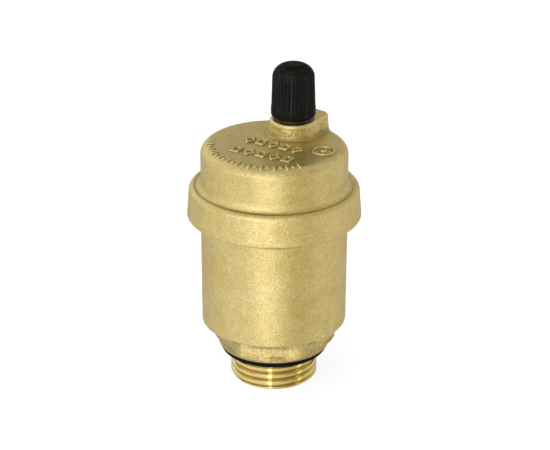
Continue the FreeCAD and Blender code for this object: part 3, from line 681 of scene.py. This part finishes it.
# the cover's closed section; the "axis" line is not part of the surface
COVER_OUTLINE = [
    ("", [(17.64, 41.84)]), ("", 0.1, 17.70, 41.78),
    ("", oval(17.73, 42.69, 3.0, 0.91, -88, 0, 30)),
    ("", 0.5, 20.25, 48.70), ("", 0.08, 19.0, 48.70, 1.25, 0, 88),
    ("", 0.1, 18.86, 49.93), ("", 0.1, 18.74, 49.80), ("", 0.1, 18.62, 49.80),
    ("", 0.1, 18.50, 49.90), ("", oval(18.62, 52.07, 1.2, 2.2, 262, 180, 18)),
    ("", 1.0, 17.42, 57.60), ("", 0.1, 14.97, 57.60, 2.45, 0, 90),
    ("", 30, 0.0, 60.05), ("axis", 30, 0.0, 57.4),
    ("", 30, 14.5, 57.4), ("", 0.1, 14.5, 56.8, 0.6, 90, 0),
    ("", 20, 15.1, 47.9), ("", 5, 17.14, 47.9), ("", 5, 17.14, 46.4),
    ("", 5, 17.62, 45.9), ("", 5, 17.62, 41.9)]


def ornament_strokes():
    """Raised strokes on the lid: (x0, y0, x1, y1, half width, height)."""
    strokes = []
    half, height, tall = 0.33, 0.42, 4.0
    # two rows of alternating shapes: the row's ends and its first two shapes
    for x0, y0, x1, y1, pair in ((-7.0, 2.9, 6.6, -5.0, ("diamond", "square")),
                                 (-10.2, -3.3, 4.4, -10.9, ("square", "diamond"))):
        count = 5
        length = math.hypot(x1 - x0, y1 - y0)
        ex, ey = (x1 - x0) / length, (y1 - y0) / length
        w = 0.5 * length / count - half - 0.28
        h = 0.5 * tall - half
        sw, sh = 0.78 * w, 0.78 * h
        shapes = {"diamond": [(0, -h), (w, 0), (0, h), (-w, 0), (0, -h)],
                  "square": [(-sw, -sh), (sw, -sh), (sw, sh), (-sw, sh), (-sw, -sh)]}
        for k in range(count):
            t = (k + 0.5) / count
            ox, oy = x0 + (x1 - x0) * t, y0 + (y1 - y0) * t
            corners = [(ox + ex * a - ey * b, oy + ey * a + ex * b)
                       for a, b in shapes[pair[k % 2]]]
            strokes += [(*p, *q, half, height) for p, q in zip(corners[:-1], corners[1:])]
    # long and short ticks along the front of the rim
    for k in range(21):
        a = math.radians(-179.0 + k * 5.55)
        r0, r1 = (14.35, 15.85) if k % 2 == 0 else (14.9, 15.3)
        strokes.append((r0 * math.cos(a), r0 * math.sin(a), r1 * math.cos(a), r1 * math.sin(a),
                        0.27, 0.30))
    return strokes


def distance_table(rows, lo, hi, step):
    """Signed distance to a closed (r, z, tag) outline; a line ending in an "axis" row counts
    only for telling inside from outside."""
    rs = np.arange(lo[0], hi[0] + step, step)
    zs = np.arange(lo[1], hi[1] + step, step)
    RR, ZZ = np.meshgrid(rs, zs, indexing="ij")
    p = np.stack([RR.ravel(), ZZ.ravel()], -1)
    nearest = np.full(len(p), 1e9)
    inside = np.zeros(len(p), bool)
    for start, stop in zip(rows, rows[1:] + rows[:1]):
        a, b = np.array(start[:2]), np.array(stop[:2])
        if stop[2] != "axis":
            ab = b - a
            t = np.clip(((p - a) @ ab) / max(ab @ ab, 1e-12), 0, 1)
            d = p - (a + t[:, None] * ab)
            nearest = np.minimum(nearest, (d * d).sum(1))
        if abs(b[1] - a[1]) > 1e-12:
            spans = (a[1] > p[:, 1]) != (b[1] > p[:, 1])
            meets = a[0] + (p[:, 1] - a[1]) / (b[1] - a[1]) * (b[0] - a[0])
            inside ^= spans & (p[:, 0] < meets)
    distance = np.sqrt(nearest)
    distance[inside] *= -1
    return rs, zs, distance.reshape(RR.shape)


def sample_table(table, r, z):
    """Bilinear reading of a distance table."""
    rs, zs, D = table
    step = rs[1] - rs[0]
    fr = np.clip((r - rs[0]) / step, 0, len(rs) - 1.001)
    fz = np.clip((z - zs[0]) / step, 0, len(zs) - 1.001)
    i = fr.astype(int)
    j = fz.astype(int)
    u, v = fr - i, fz - j
    return ((D[i, j] * (1 - u) + D[i + 1, j] * u) * (1 - v)
            + (D[i, j + 1] * (1 - u) + D[i + 1, j + 1] * u) * v)


def from_valve(x, y):
    """Distance from the valve line, and from the boss's spine, which starts there."""
    dx, dy = x - VALVE_X, y - VALVE_Y
    along = dx * math.cos(BOSS_ANGLE) + dy * math.sin(BOSS_ANGLE)
    across = dy * math.cos(BOSS_ANGLE) - dx * math.sin(BOSS_ANGLE)
    line = np.hypot(dx, dy)
    return line, np.where(along < 0, line, np.abs(across))


def relief_distance(x, y, above_lid, strokes):
    """Distance to the raised ornament."""
    relief = np.full(len(x), 9.0)
    for x0, y0, x1, y1, half, height in strokes:
        ax, ay = x1 - x0, y1 - y0
        u = np.clip(((x - x0) * ax + (y - y0) * ay) / (ax * ax + ay * ay), 0, 1)
        plan = np.hypot(x - x0 - u * ax, y - y0 - u * ay) - half
        relief = np.minimum(relief, round_meet(plan, above_lid - height, RELIEF_EDGE))
    # a plain ring with a dot near the right edge
    q = np.hypot(x - 11.4, y + 4.9)
    plan = np.minimum(np.abs(q - 2.45) - 0.34, q - 0.75)
    relief = np.minimum(relief, round_meet(plan, above_lid - 0.40, RELIEF_EDGE))
    return np.maximum(relief, -above_lid - 0.5)


def cover_distance(points, table, strokes):
    """Signed distance to the cover in mm, negative in the brass."""
    x, y, z = points.T
    r = np.hypot(x, y)
    table_top = 65.0
    d = sample_table(table, r, np.minimum(z, table_top)) + np.maximum(z - table_top, 0)

    # thread ridges inside the skirt
    low = (z > 42.0) & (z < 46.2) & (r > 16.0) & (r < 18.6)
    turns = thread_turns(z[low], np.arctan2(y[low], x[low]), TOP_THREAD_START, TOP_THREAD_PITCH)
    ridge = 1.0 - thread_wave(turns, **TOP_THREAD_FORM)
    bore = 17.62 - 0.50 * ridge * smoothstep(42.1, 42.5, z[low])
    d[low] = np.minimum(d[low], np.maximum((bore - r[low]) * 0.8, r[low] - 18.0))

    # the boss, a round end and a straight run out to the rim, slightly drafted
    top = z > 57.5
    xt, yt, zt = x[top], y[top], z[top]
    lid = d[top]
    line, spine = from_valve(xt, yt)
    boss = spine - BOSS_RADIUS - 0.10 * np.clip(62.9 - zt, 0, 3)
    boss = round_meet(boss, np.hypot(xt, yt) - 17.3, 1.8)
    boss = round_meet(boss, zt - BOSS_TOP, 0.85)
    dt = fillet_union(lid, boss, 0.05 + 0.85 * smoothstep(57.7, 59.2, zt))

    near = (zt > 58.4) & (zt < 61.0)
    relief = relief_distance(xt[near], yt[near], lid[near], strokes)
    dt[near] = fillet_union(dt[near], relief, 0.22)

    # the nozzle's hole, chamfered at its mouth
    hole = NOZZLE_HOLE_RADIUS + np.maximum(zt - 63.45, 0)
    d[top] = np.maximum(dt, (hole - line) * 0.9)
    return d


def surface_net(values):
    """One vertex in each grid cell the zero surface crosses, joined into quads: cell indices,
    places within the cells, quads."""
    inside = values < 0
    nx, ny, nz = (n - 1 for n in values.shape)
    count = np.zeros((nx, ny, nz), np.int8)
    for a, b, c in np.ndindex(2, 2, 2):
        count += inside[a:nx + a, b:ny + b, c:nz + c]
    crossed = (count > 0) & (count < 8)
    I, J, K = np.nonzero(crossed)
    index = -np.ones(crossed.shape, np.int64)
    index[I, J, K] = np.arange(len(I))

    # each vertex is the mean of the crossings on its cell's edges
    corner = {(a, b, c): values[I + a, J + b, K + c].astype(float)
              for a, b, c in np.ndindex(2, 2, 2)}
    total = np.zeros((len(I), 3))
    hits = np.zeros(len(I))
    for axis in (2, 1, 0):
        for p in np.ndindex(2, 2, 2):
            if p[axis]:
                continue
            q = tuple(1 if k == axis else p[k] for k in range(3))
            dp, dq = corner[p], corner[q]
            hit = (dp < 0) != (dq < 0)
            t = np.where(hit, dp / np.where(hit, dp - dq, 1), 0)
            place = np.array(p)[None] + t[:, None] * (np.array(q) - np.array(p))[None]
            total += place * hit[:, None]
            hits += hit

    # a quad round every grid edge that changes side
    quads = []
    for axis in range(3):
        at = np.array(np.nonzero(np.diff(inside, axis=axis)))
        one, two = [k for k in range(3) if k != axis]
        ok = ((at[one] > 0) & (at[two] > 0)
              & (at[one] < crossed.shape[one]) & (at[two] < crossed.shape[two]))
        at = at[:, ok]
        corners = []
        for back_one, back_two in ((1, 1), (0, 1), (0, 0), (1, 0)):
            cell = at.copy()
            cell[one] -= back_one
            cell[two] -= back_two
            corners.append(index[tuple(cell)])
        quad = np.stack(corners, -1)
        keep = inside[tuple(at)]
        if axis == 1:
            keep = ~keep
        quad[~keep] = quad[~keep][:, ::-1]
        quads.append(quad)
    return (I, J, K), total / hits[:, None], np.concatenate(quads)


def skin_curve(points, normals, distance):
    """Mean bending of a distance field's skin: + on convex edges, - in hollows."""
    helper = np.where(np.abs(normals[:, 2:3]) < 0.8, [[0, 0, 1.0]], [[1.0, 0, 0]])
    side = unit(np.cross(normals, helper))
    over = np.cross(normals, side)
    curve = np.zeros(len(points))
    for k in range(6):
        a = math.pi * k / 6
        reach = (math.cos(a) * side + math.sin(a) * over) * CURVE_REACH
        curve += (distance(points + reach) + distance(points - reach)) / CURVE_REACH
    return curve / 12.0


def cover_grime(points, curve):
    """How much shade is painted on every point of the cover, 0 none to 1 full."""
    x, y, z = points.T
    r = np.hypot(x, y)
    line, spine = from_valve(x, y)
    broad = noise3(points, size=2.2, seed=75)
    fine = noise3(points, size=0.5, seed=76)
    # painted shade in the groove above the skirt's shoulder, most at the front
    front = facing(np.degrees(np.arctan2(y, x)), centre=-105.0, width=36.0)
    grime = (0.17 + 0.80 * front) * np.exp(-((r - 18.60) / 0.33) ** 2 - ((z - 49.86) / 0.22) ** 2)
    # painted shade along the seam against the body
    grime += smoothstep(18.00, 17.78, r) * smoothstep(42.02, 41.86, z)
    # painted shade round the boss's foot, mottled up its side, and in the hollows between the
    # strokes
    lid = smoothstep(59.3, 59.7, z) * smoothstep(4.1, 4.4, line)
    grime += 0.46 * lid * np.exp(-((spine - 5.75) / 1.1) ** 2) * smoothstep(61.4, 60.4, z)
    grime += (lid * smoothstep(60.2, 60.9, z) * smoothstep(63.5, 62.9, z)
              * (0.20 + 0.30 * np.clip(fine, -0.4, 1) + 0.12 * broad))
    grime += 0.55 * lid * smoothstep(60.75, 60.5, z) * smoothstep(0.02, 0.16, -curve)
    return np.clip(grime, 0, 1)


def build_cover():
    table = distance_table(outline_rows(COVER_OUTLINE), lo=(0, 40.6), hi=(22.0, 65.2), step=0.04)
    strokes = ornament_strokes()

    def distance(points):
        return cover_distance(points, table, strokes)

    probe = 0.02

    def difference(points):
        """Change of distance across a probe step to each side, along each axis."""
        return np.stack([distance(points + e) - distance(points - e)
                         for e in np.eye(3) * probe], -1)

    xs = np.arange(-21.0, 21.0 + COVER_CELL, COVER_CELL)
    zs = np.arange(41.1, 64.4, COVER_CELL)
    X, Y = np.meshgrid(xs, xs, indexing="ij")
    values = np.empty((*X.shape, len(zs)), np.float32)
    layer = np.stack([X.ravel(), Y.ravel(), np.zeros(X.size)], -1)
    for k, z in enumerate(zs):
        layer[:, 2] = z
        values[:, :, k] = distance(layer).reshape(X.shape)
    (I, J, K), within, quads = surface_net(values)
    base = np.stack([xs[I], xs[J], zs[K]], -1) + within * COVER_CELL

    # settle on the true surface
    for _ in range(3):
        off = distance(base)
        slope = difference(base) / (2 * probe)
        steep = np.maximum((slope * slope).sum(1), 0.2)
        base = base - slope * np.clip(off / steep, -0.1, 0.1)[:, None]
    normals = unit(difference(base))

    # forged skin outside the skirt and on the lid, clear of the nozzle's hole
    x, y, z = base.T
    outer = smoothstep(17.36, 17.41, np.hypot(x, y)) * smoothstep(41.70, 41.90, z)
    outer = np.maximum(outer, smoothstep(58.6, 59.0, z)
                       * smoothstep(4.15, 4.4, from_valve(x, y)[0]))
    skin = base + normals * (forged(base, seed=71) * outer)[:, None]

    # turned faces: the bore, the nozzle's hole and the thread in the skirt
    x, y, z = base[quads].mean(1).T
    r = np.hypot(x, y)
    turned = ((r < 17.36) & (z < 57.6)) | (from_valve(x, y)[0] < 4.0)
    turned |= (r < 17.7) & (z < 46.5) & (z > 41.82)

    curve = skin_curve(base, normals, distance)
    piece = add_piece("cover_forging", skin, quads.tolist(), [FORGED_BRASS, TURNED_BRASS],
                      turned, {"curve": curve, "grime": cover_grime(base, curve)})
    register(piece, "housing", "cover")


# ------------------------------------------------------------------------ cap
CAP_RIBS = 32
COLUMNS_PER_RIB = 14
CAP_ROOF_Z = 74.6                # inner end of the bore
CAP_TOP_Z = 77.39
RIB_DEPTH = 0.23

# from the bore's inner end, down and round the rim and up the outside; see outline_rows
CAP_OUTLINE = [
    ("in", [(0.35, CAP_ROOF_Z)]), ("in", 0.5, 3.75, 74.6), ("in", 0.1, 3.93, 74.45),
    ("in_thread", 0.11, 3.93, 65.1), ("in", 0.12, 4.15, 64.85),
    ("rim", 0.1, 4.3, 64.72), ("rim", 0.05, 4.45, 64.85, 0.15, -130, -90),
    ("rim", 0.12, 4.98, 64.70), ("rim", 0.07, 4.98, 65.06, 0.36, -90, 0),
    ("band", 0.12, 5.34, 66.72), ("band", 0.05, 5.24, 66.72, 0.10, 0, 80),
    ("grip", 0.05, 5.257, 66.98), ("grip", 0.09, 5.04, 73.94),
    ("dome", 0.09, 1.72, 73.94, 3.32, 0, 88),
    ("top", 0.12, 0.62, 77.25), ("top", 0.06, 0.50, 77.28),
    ("nub", 0.06, 0.36, 77.375), ("nub", 0.1, 0.12, CAP_TOP_Z)]


def build_cap():
    angles = full_turn(CAP_RIBS * COLUMNS_PER_RIB)
    off_rib = np.abs((angles * CAP_RIBS / TAU) % 1.0 - 0.5) * 2.0
    groove = smoothstep(0.48, 0.86, off_rib)
    rows = outline_rows(CAP_OUTLINE)
    R = np.zeros((len(rows), len(angles)))
    for i, (r, z, tag) in enumerate(rows):
        R[i] = r
        if tag == "in_thread":
            turns = thread_turns(z, angles, CAP_THREAD_START, VENT_PITCH)
            R[i] += 0.34 * (1 - thread_wave(turns, crest=0.2, root=0.16)) * smoothstep(
                65.2, 65.6, z) * (1 - smoothstep(73.6, 74.1, z))
        elif tag in ("grip", "dome"):
            fade = smoothstep(67.05, 67.45, z) * (1 - smoothstep(74.6, 76.1, z))
            R[i] -= RIB_DEPTH * fade * groove
        elif tag in ("nub", "top"):
            # the nub at the top is not quite round
            R[i] *= 1 + 0.10 * np.sin(3 * angles + 0.8) + 0.05 * np.sin(7 * angles)
    grid = revolve(R, np.array([z for _, z, _ in rows])[:, None], angles)
    normals = grid_normals(grid)

    # a faint unevenness on the outside
    q = grid.reshape(-1, 3)
    height = 0.012 * noise3(q, size=1.6, seed=301) + 0.006 * noise3(q, size=0.6, seed=302) - 0.015
    outside = np.array([0.0 if tag.startswith("in") else 1.0 for _, _, tag in rows])
    side = -1.0 if normals[-3, :, 2].mean() < 0 else 1.0
    grid += normals * side * (height.reshape(R.shape) * outside[:, None])[..., None]

    grid[..., :2] += (VALVE_X, VALVE_Y)
    ends = [[VALVE_X, VALVE_Y, CAP_ROOF_Z], [VALVE_X, VALVE_Y, CAP_TOP_Z]]
    piece = add_piece("vent_cap_ribbed", *grid_mesh(grid, ends), [CAP_PLASTIC])
    register(piece, "cap", "vent_cap")


# ---------------------------------------------------------------------- rings
def build_ring(name, node, radius, half_r, half_z, z, seed, material=RUBBER, centre=(0.0, 0.0),
               columns=360, rows=40, square=2.0, flash=0.02):
    """A seal ring whose section is a superellipse; flash is the height of its mould line."""
    angles = full_turn(columns)
    turn = full_turn(rows)[:, None]
    cs, sn = np.cos(turn), np.sin(turn)
    power = 2.0 / square
    out = half_r * np.copysign(np.abs(cs) ** power, cs)
    out += flash * np.exp(-(sn / 0.08) ** 2) * np.copysign(1, cs)
    up = half_z * np.copysign(np.abs(sn) ** power, sn)
    grid = revolve(radius + out, z + up, angles)
    wobble = (0.006 * noise3(grid.reshape(-1, 3), size=1.5, seed=seed) - 0.008)
    grid += unit(grid - revolve(radius, z, angles)) * wobble.reshape(rows, columns)[..., None]
    grid[..., :2] += centre
    piece = add_piece(name, *grid_mesh(grid), [material])
    register(piece, "housing", node)


# --------------------------------------------------------------------- nozzle
NOZZLE_COLUMNS = 256
NOZZLE_THREAD_DEPTH = 0.36
FLANGE_HALF_WIDTH = 4.28         # between the flange's two flats

# the nozzle's closed section, up the outside and down the bore; see outline_rows
NOZZLE_OUTLINE = [
    ("", [(1.0, 54.55)]), ("", 0.08, 1.1, 54.42), ("", 0.1, 1.38, 54.42),
    ("", 0.12, 1.85, 54.82),
    ("flange", 0.4, 4.35, 54.82), ("flange", 0.15, 4.68, 55.1), ("flange", 0.3, 4.68, 56.58),
    ("", 0.3, 3.86, 56.58), ("", 0.3, 3.86, 58.6), ("", 0.3, 2.93, 58.6),
    ("", 0.3, 2.93, 59.9), ("", 0.3, 3.86, 59.9), ("", 0.2, 3.86, 60.2),
    ("low", 0.06, 3.86, 63.0), ("", 0.3, 3.86, 65.2), ("up", 0.06, 3.86, 73.1),
    ("", 0.12, 3.4, 73.58), ("", 0.3, 2.3, 73.58), ("", 0.1, 2.1, 73.35),
    ("", 1.0, 2.1, 61.1), ("", 0.1, 2.0, 61.0), ("", 0.3, 1.2, 60.75),
    ("", 0.1, 1.0, 60.5), ("", 1.0, 1.0, 54.7)]


def build_nozzle():
    angles = full_turn(NOZZLE_COLUMNS)
    rows = outline_rows(NOZZLE_OUTLINE)
    R = np.zeros((len(rows), NOZZLE_COLUMNS))
    for i, (r, z, tag) in enumerate(rows):
        R[i] = r
        if tag == "low":
            turns = thread_turns(z, angles, 60.75, VENT_PITCH)
            R[i] -= NOZZLE_THREAD_DEPTH * (1 - thread_wave(turns)) * smoothstep(
                60.3, 60.7, z) * (1 - smoothstep(62.5, 62.9, z))
        elif tag == "up":
            turns = thread_turns(z, angles, CAP_THREAD_START, VENT_PITCH)
            R[i] -= NOZZLE_THREAD_DEPTH * (1 - thread_wave(turns)) * smoothstep(65.3, 65.7, z)
        elif tag == "flange":
            across = np.abs(r * np.sin(angles - BOSS_ANGLE))
            R[i] *= np.minimum(1.0, FLANGE_HALF_WIDTH / np.maximum(across, 1e-6))
    grid = revolve(R, np.array([z for _, z, _ in rows])[:, None], angles)
    grid[..., :2] += (VALVE_X, VALVE_Y)
    piece = add_piece("vent_nozzle", *grid_mesh(grid), [NOZZLE_BRASS])
    register(piece, "housing", "nozzle")


# --------------------------------------------------------------------- spring
def build_spring():
    wire, coil = 0.2, 1.5                    # wire radius, coil radius to the wire's middle
    gap = 0.01
    z0, z1 = 61.0 + wire + gap, 66.99 - wire - gap
    turns, closed_turns = 7.0, 1.0           # all turns, and the close-wound ones at each end
    closed_rise = 0.42 * closed_turns
    count = int(turns * 40)
    t = np.linspace(0, turns, count + 1)
    rise = np.interp(t, [0, closed_turns, turns - closed_turns, turns],
                     [0, closed_rise, z1 - z0 - closed_rise, z1 - z0])
    cs, sn = np.cos(TAU * t), np.sin(TAU * t)
    centre = np.stack([VALVE_X + coil * cs, VALVE_Y + coil * sn, z0 + rise], -1)
    along = np.gradient(centre, axis=0)
    along /= np.linalg.norm(along, axis=1, keepdims=True)
    radial = np.stack([cs, sn, np.zeros(count + 1)], -1)
    third = np.cross(along, radial)
    around = full_turn(14)[None, :, None]
    grid = centre[:, None] + wire * (np.cos(around) * radial[:, None]
                                     + np.sin(around) * third[:, None])
    piece = add_piece("closing_spring", *grid_mesh(grid, centre[[0, -1]]), [STEEL])
    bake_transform(piece)
    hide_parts("valve_spring")


build_body()
build_cover()
build_cap()
build_ring("base_seal", "base_o_ring", radius=11.68, half_r=1.27, half_z=1.27, z=8.34, seed=31)
build_ring("cover_seal", "cover_o_ring", radius=16.15, half_r=0.79, half_z=0.79, z=47.095,
           seed=32)
build_ring("nozzle_seal", "nozzle_o_ring", radius=3.435, half_r=0.5, half_z=0.5, z=59.25,
           seed=33, centre=(VALVE_X, VALVE_Y), columns=160, rows=28)
build_ring("cap_seat_seal", "cap_seat_ring", radius=4.485, half_r=0.515, half_z=0.395, z=64.205,
           seed=34, material=SEAT_RUBBER, centre=(VALVE_X, VALVE_Y), columns=220, square=3.4,
           flash=0.0)
build_nozzle()
build_spring()

# CAD pieces that keep their shape and only get a finish
FINISHES = (
    (RUBBER, ("cap_seal", "valve_pad")),
    (STEEL, ("valve_stem", "stem_clip", "retainer_clip", "lever_bracket", "lever", "lever_pin",
             "lever_pin_clip", "float_hook")),
    (NOZZLE_BRASS, ("spring_retainer",)),
    (FLOAT_PLASTIC, ("float_shell", "float_lid")))
for finish, node_names in FINISHES:
    for node_name in node_names:
        cad_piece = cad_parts[node_name]
        if not cad_piece.material_slots:
            cad_piece.data.materials.append(finish)
        for material_slot in cad_piece.material_slots:
            material_slot.material = finish


# ---------------------------------------------------------------------- floor
def build_floor():
    half, z = 3.0, -0.00005                  # metres; just below the body's foot
    mesh = bpy.data.meshes.new("floor")
    mesh.from_pydata([(-half, -half, z), (half, -half, z), (half, half, z), (-half, half, z)],
                     [], [(0, 1, 2, 3)])
    floor = bpy.data.objects.new("floor", mesh)
    scene.collection.objects.link(floor)
    material, n, shader = new_material("floor_paper")
    n.feed_all(shader, {"Base Color": (0.45, 0.45, 0.47), "Roughness": 0.9,
                        "Specular IOR Level": 0.0, "Emission Color": (0.98, 0.985, 1.04),
                        "Emission Strength": 0.76})
    mesh.materials.append(material)
    floor.visible_glossy = False


# ---------------------------------------------------------------------- world
# colour of the surroundings by heading: degrees from the viewer's side, + to the right
SURROUNDINGS = (
    (-180, (0.43, 0.415, 0.315)), (-120, (0.80, 0.80, 0.73)), (-83, (0.93, 0.91, 0.77)),
    (-55, (1.07, 1.06, 0.95)), (-30, (1.26, 1.25, 1.14)), (-2, (0.86, 0.85, 0.75)),
    (16, (0.95, 0.93, 0.75)), (44, (0.55, 0.52, 0.355)), (75, (0.535, 0.515, 0.40)),
    (104, (0.86, 0.84, 0.74)), (140, (0.68, 0.67, 0.59)), (180, (0.43, 0.415, 0.315)))
# brightness by height: 0 straight down, 0.5 level, 1 straight up
HEIGHT_STOPS = ((0.0, 0.80), (0.30, 0.95), (0.50, 1.0), (0.62, 0.95), (0.80, 0.86), (1.0, 0.86))


def build_world():
    world = bpy.data.worlds.new("studio")
    scene.world = world
    n = Nodes(world)
    direction = n.source("ShaderNodeTexCoord", "Generated")
    axes = n.split(direction)
    # heading: 0.5 towards the viewer (-Y), rising to the right (+X)
    angle = n.calc("ARCTAN2", axes["X"], n.times(axes["Y"], -1.0))
    heading = n.scaled(angle, gain=1.0 / TAU, offset=0.5)
    height = n.scaled(axes["Z"], gain=0.5, offset=0.5)

    def heading_at(degrees):
        return 0.5 + degrees / 360.0

    def edge_step(value, a, b):
        """0 before a, 1 after b, smooth between."""
        node = n.new("ShaderNodeMapRange", interpolation_type="SMOOTHSTEP")
        n.feed_all(node, {"Value": value, "From Min": a, "From Max": b})
        return node.outputs["Result"]

    def band(value, lo, hi, soft):
        return n.calc("SUBTRACT", edge_step(value, lo - soft, lo + soft),
                      edge_step(value, hi - soft, hi + soft))

    def lit(mask, power):
        return n.mix(1.0, mask, (power, power, power), mode="MULTIPLY")

    def strip(left, right, bottom, top, soft, power):
        """An upright soft-edged light panel; headings and elevations in degrees."""
        sides = band(heading, heading_at(left), heading_at(right), soft / 360.0)
        lo, hi = (0.5 + 0.5 * math.sin(math.radians(e)) for e in (bottom, top))
        return lit(n.times(sides, band(height, lo, hi, 0.03)), power)

    def blob(azimuth, elevation, width, power):
        """A soft round light in the surroundings; angles in degrees."""
        a, e = math.radians(azimuth), math.radians(elevation)
        dot = n.new("ShaderNodeVectorMath", operation="DOT_PRODUCT")
        n.feed(dot.inputs[0], direction)
        dot.inputs[1].default_value = (math.sin(a) * math.cos(e), -math.cos(a) * math.cos(e),
                                       math.sin(e))
        rim = math.cos(math.radians(width))
        past_rim = n.calc("SUBTRACT", dot.outputs["Value"], rim)
        mask = n.ramp(n.calc("DIVIDE", past_rim, 1 - rim, clamp=True),
                      stops=[(0.0, 0.0), (1.0, 1.0)], interpolation="EASE")
        return lit(mask, power)

    around = n.ramp(heading, stops=[(heading_at(deg), colour) for deg, colour in SURROUNDINGS],
                    interpolation="B_SPLINE")
    env = n.mix(1.0, around, n.ramp(height, stops=HEIGHT_STOPS, interpolation="EASE"),
                mode="MULTIPLY")
    for light in (blob(azimuth=-24, elevation=24, width=36, power=0.8),
                  blob(azimuth=-142, elevation=28, width=36, power=0.40),
                  strip(left=-15, right=-7, bottom=-60, top=14, soft=1.0, power=2.1),
                  strip(left=67.5, right=79, bottom=-60, top=20, soft=2.0, power=0.68)):
        env = n.mix(1.0, env, light, mode="ADD")

    # the camera sees plain white; everything else is lit by the surroundings
    lighting = n.new("ShaderNodeBackground")
    n.feed_all(lighting, {"Color": env, "Strength": 1.0})
    backdrop = n.new("ShaderNodeBackground")
    n.feed_all(backdrop, {"Color": (1, 1, 1), "Strength": 1.0})
    choose = n.new("ShaderNodeMixShader")
    sources = (n.source("ShaderNodeLightPath", "Is Camera Ray"),
               lighting.outputs[0], backdrop.outputs[0])
    for socket, value in zip(choose.inputs, sources):
        n.feed(socket, value)
    output = n.new("ShaderNodeOutputWorld")
    n.feed(output.inputs["Surface"], choose.outputs[0])


# --------------------------------------------------------------------- camera
def build_camera():
    data = bpy.data.cameras.new("camera")
    data.sensor_width = 36.0
    data.lens = 126.392727
    data.shift_x = 0.00145454545             # share of the sensor's width
    data.clip_start = 0.01
    data.clip_end = 20.0
    camera = bpy.data.objects.new("camera", data)
    scene.collection.objects.link(camera)
    camera.location = (0.0, -0.42069, 0.22642)
    look = Vector((0.0, 0.0, 0.03915)) - camera.location
    roll = Quaternion((0, 0, 1), math.radians(0.15))
    camera.rotation_mode = "QUATERNION"
    camera.rotation_quaternion = look.to_track_quat("-Z", "Y") @ roll
    scene.camera = camera


build_floor()
build_world()
build_camera()
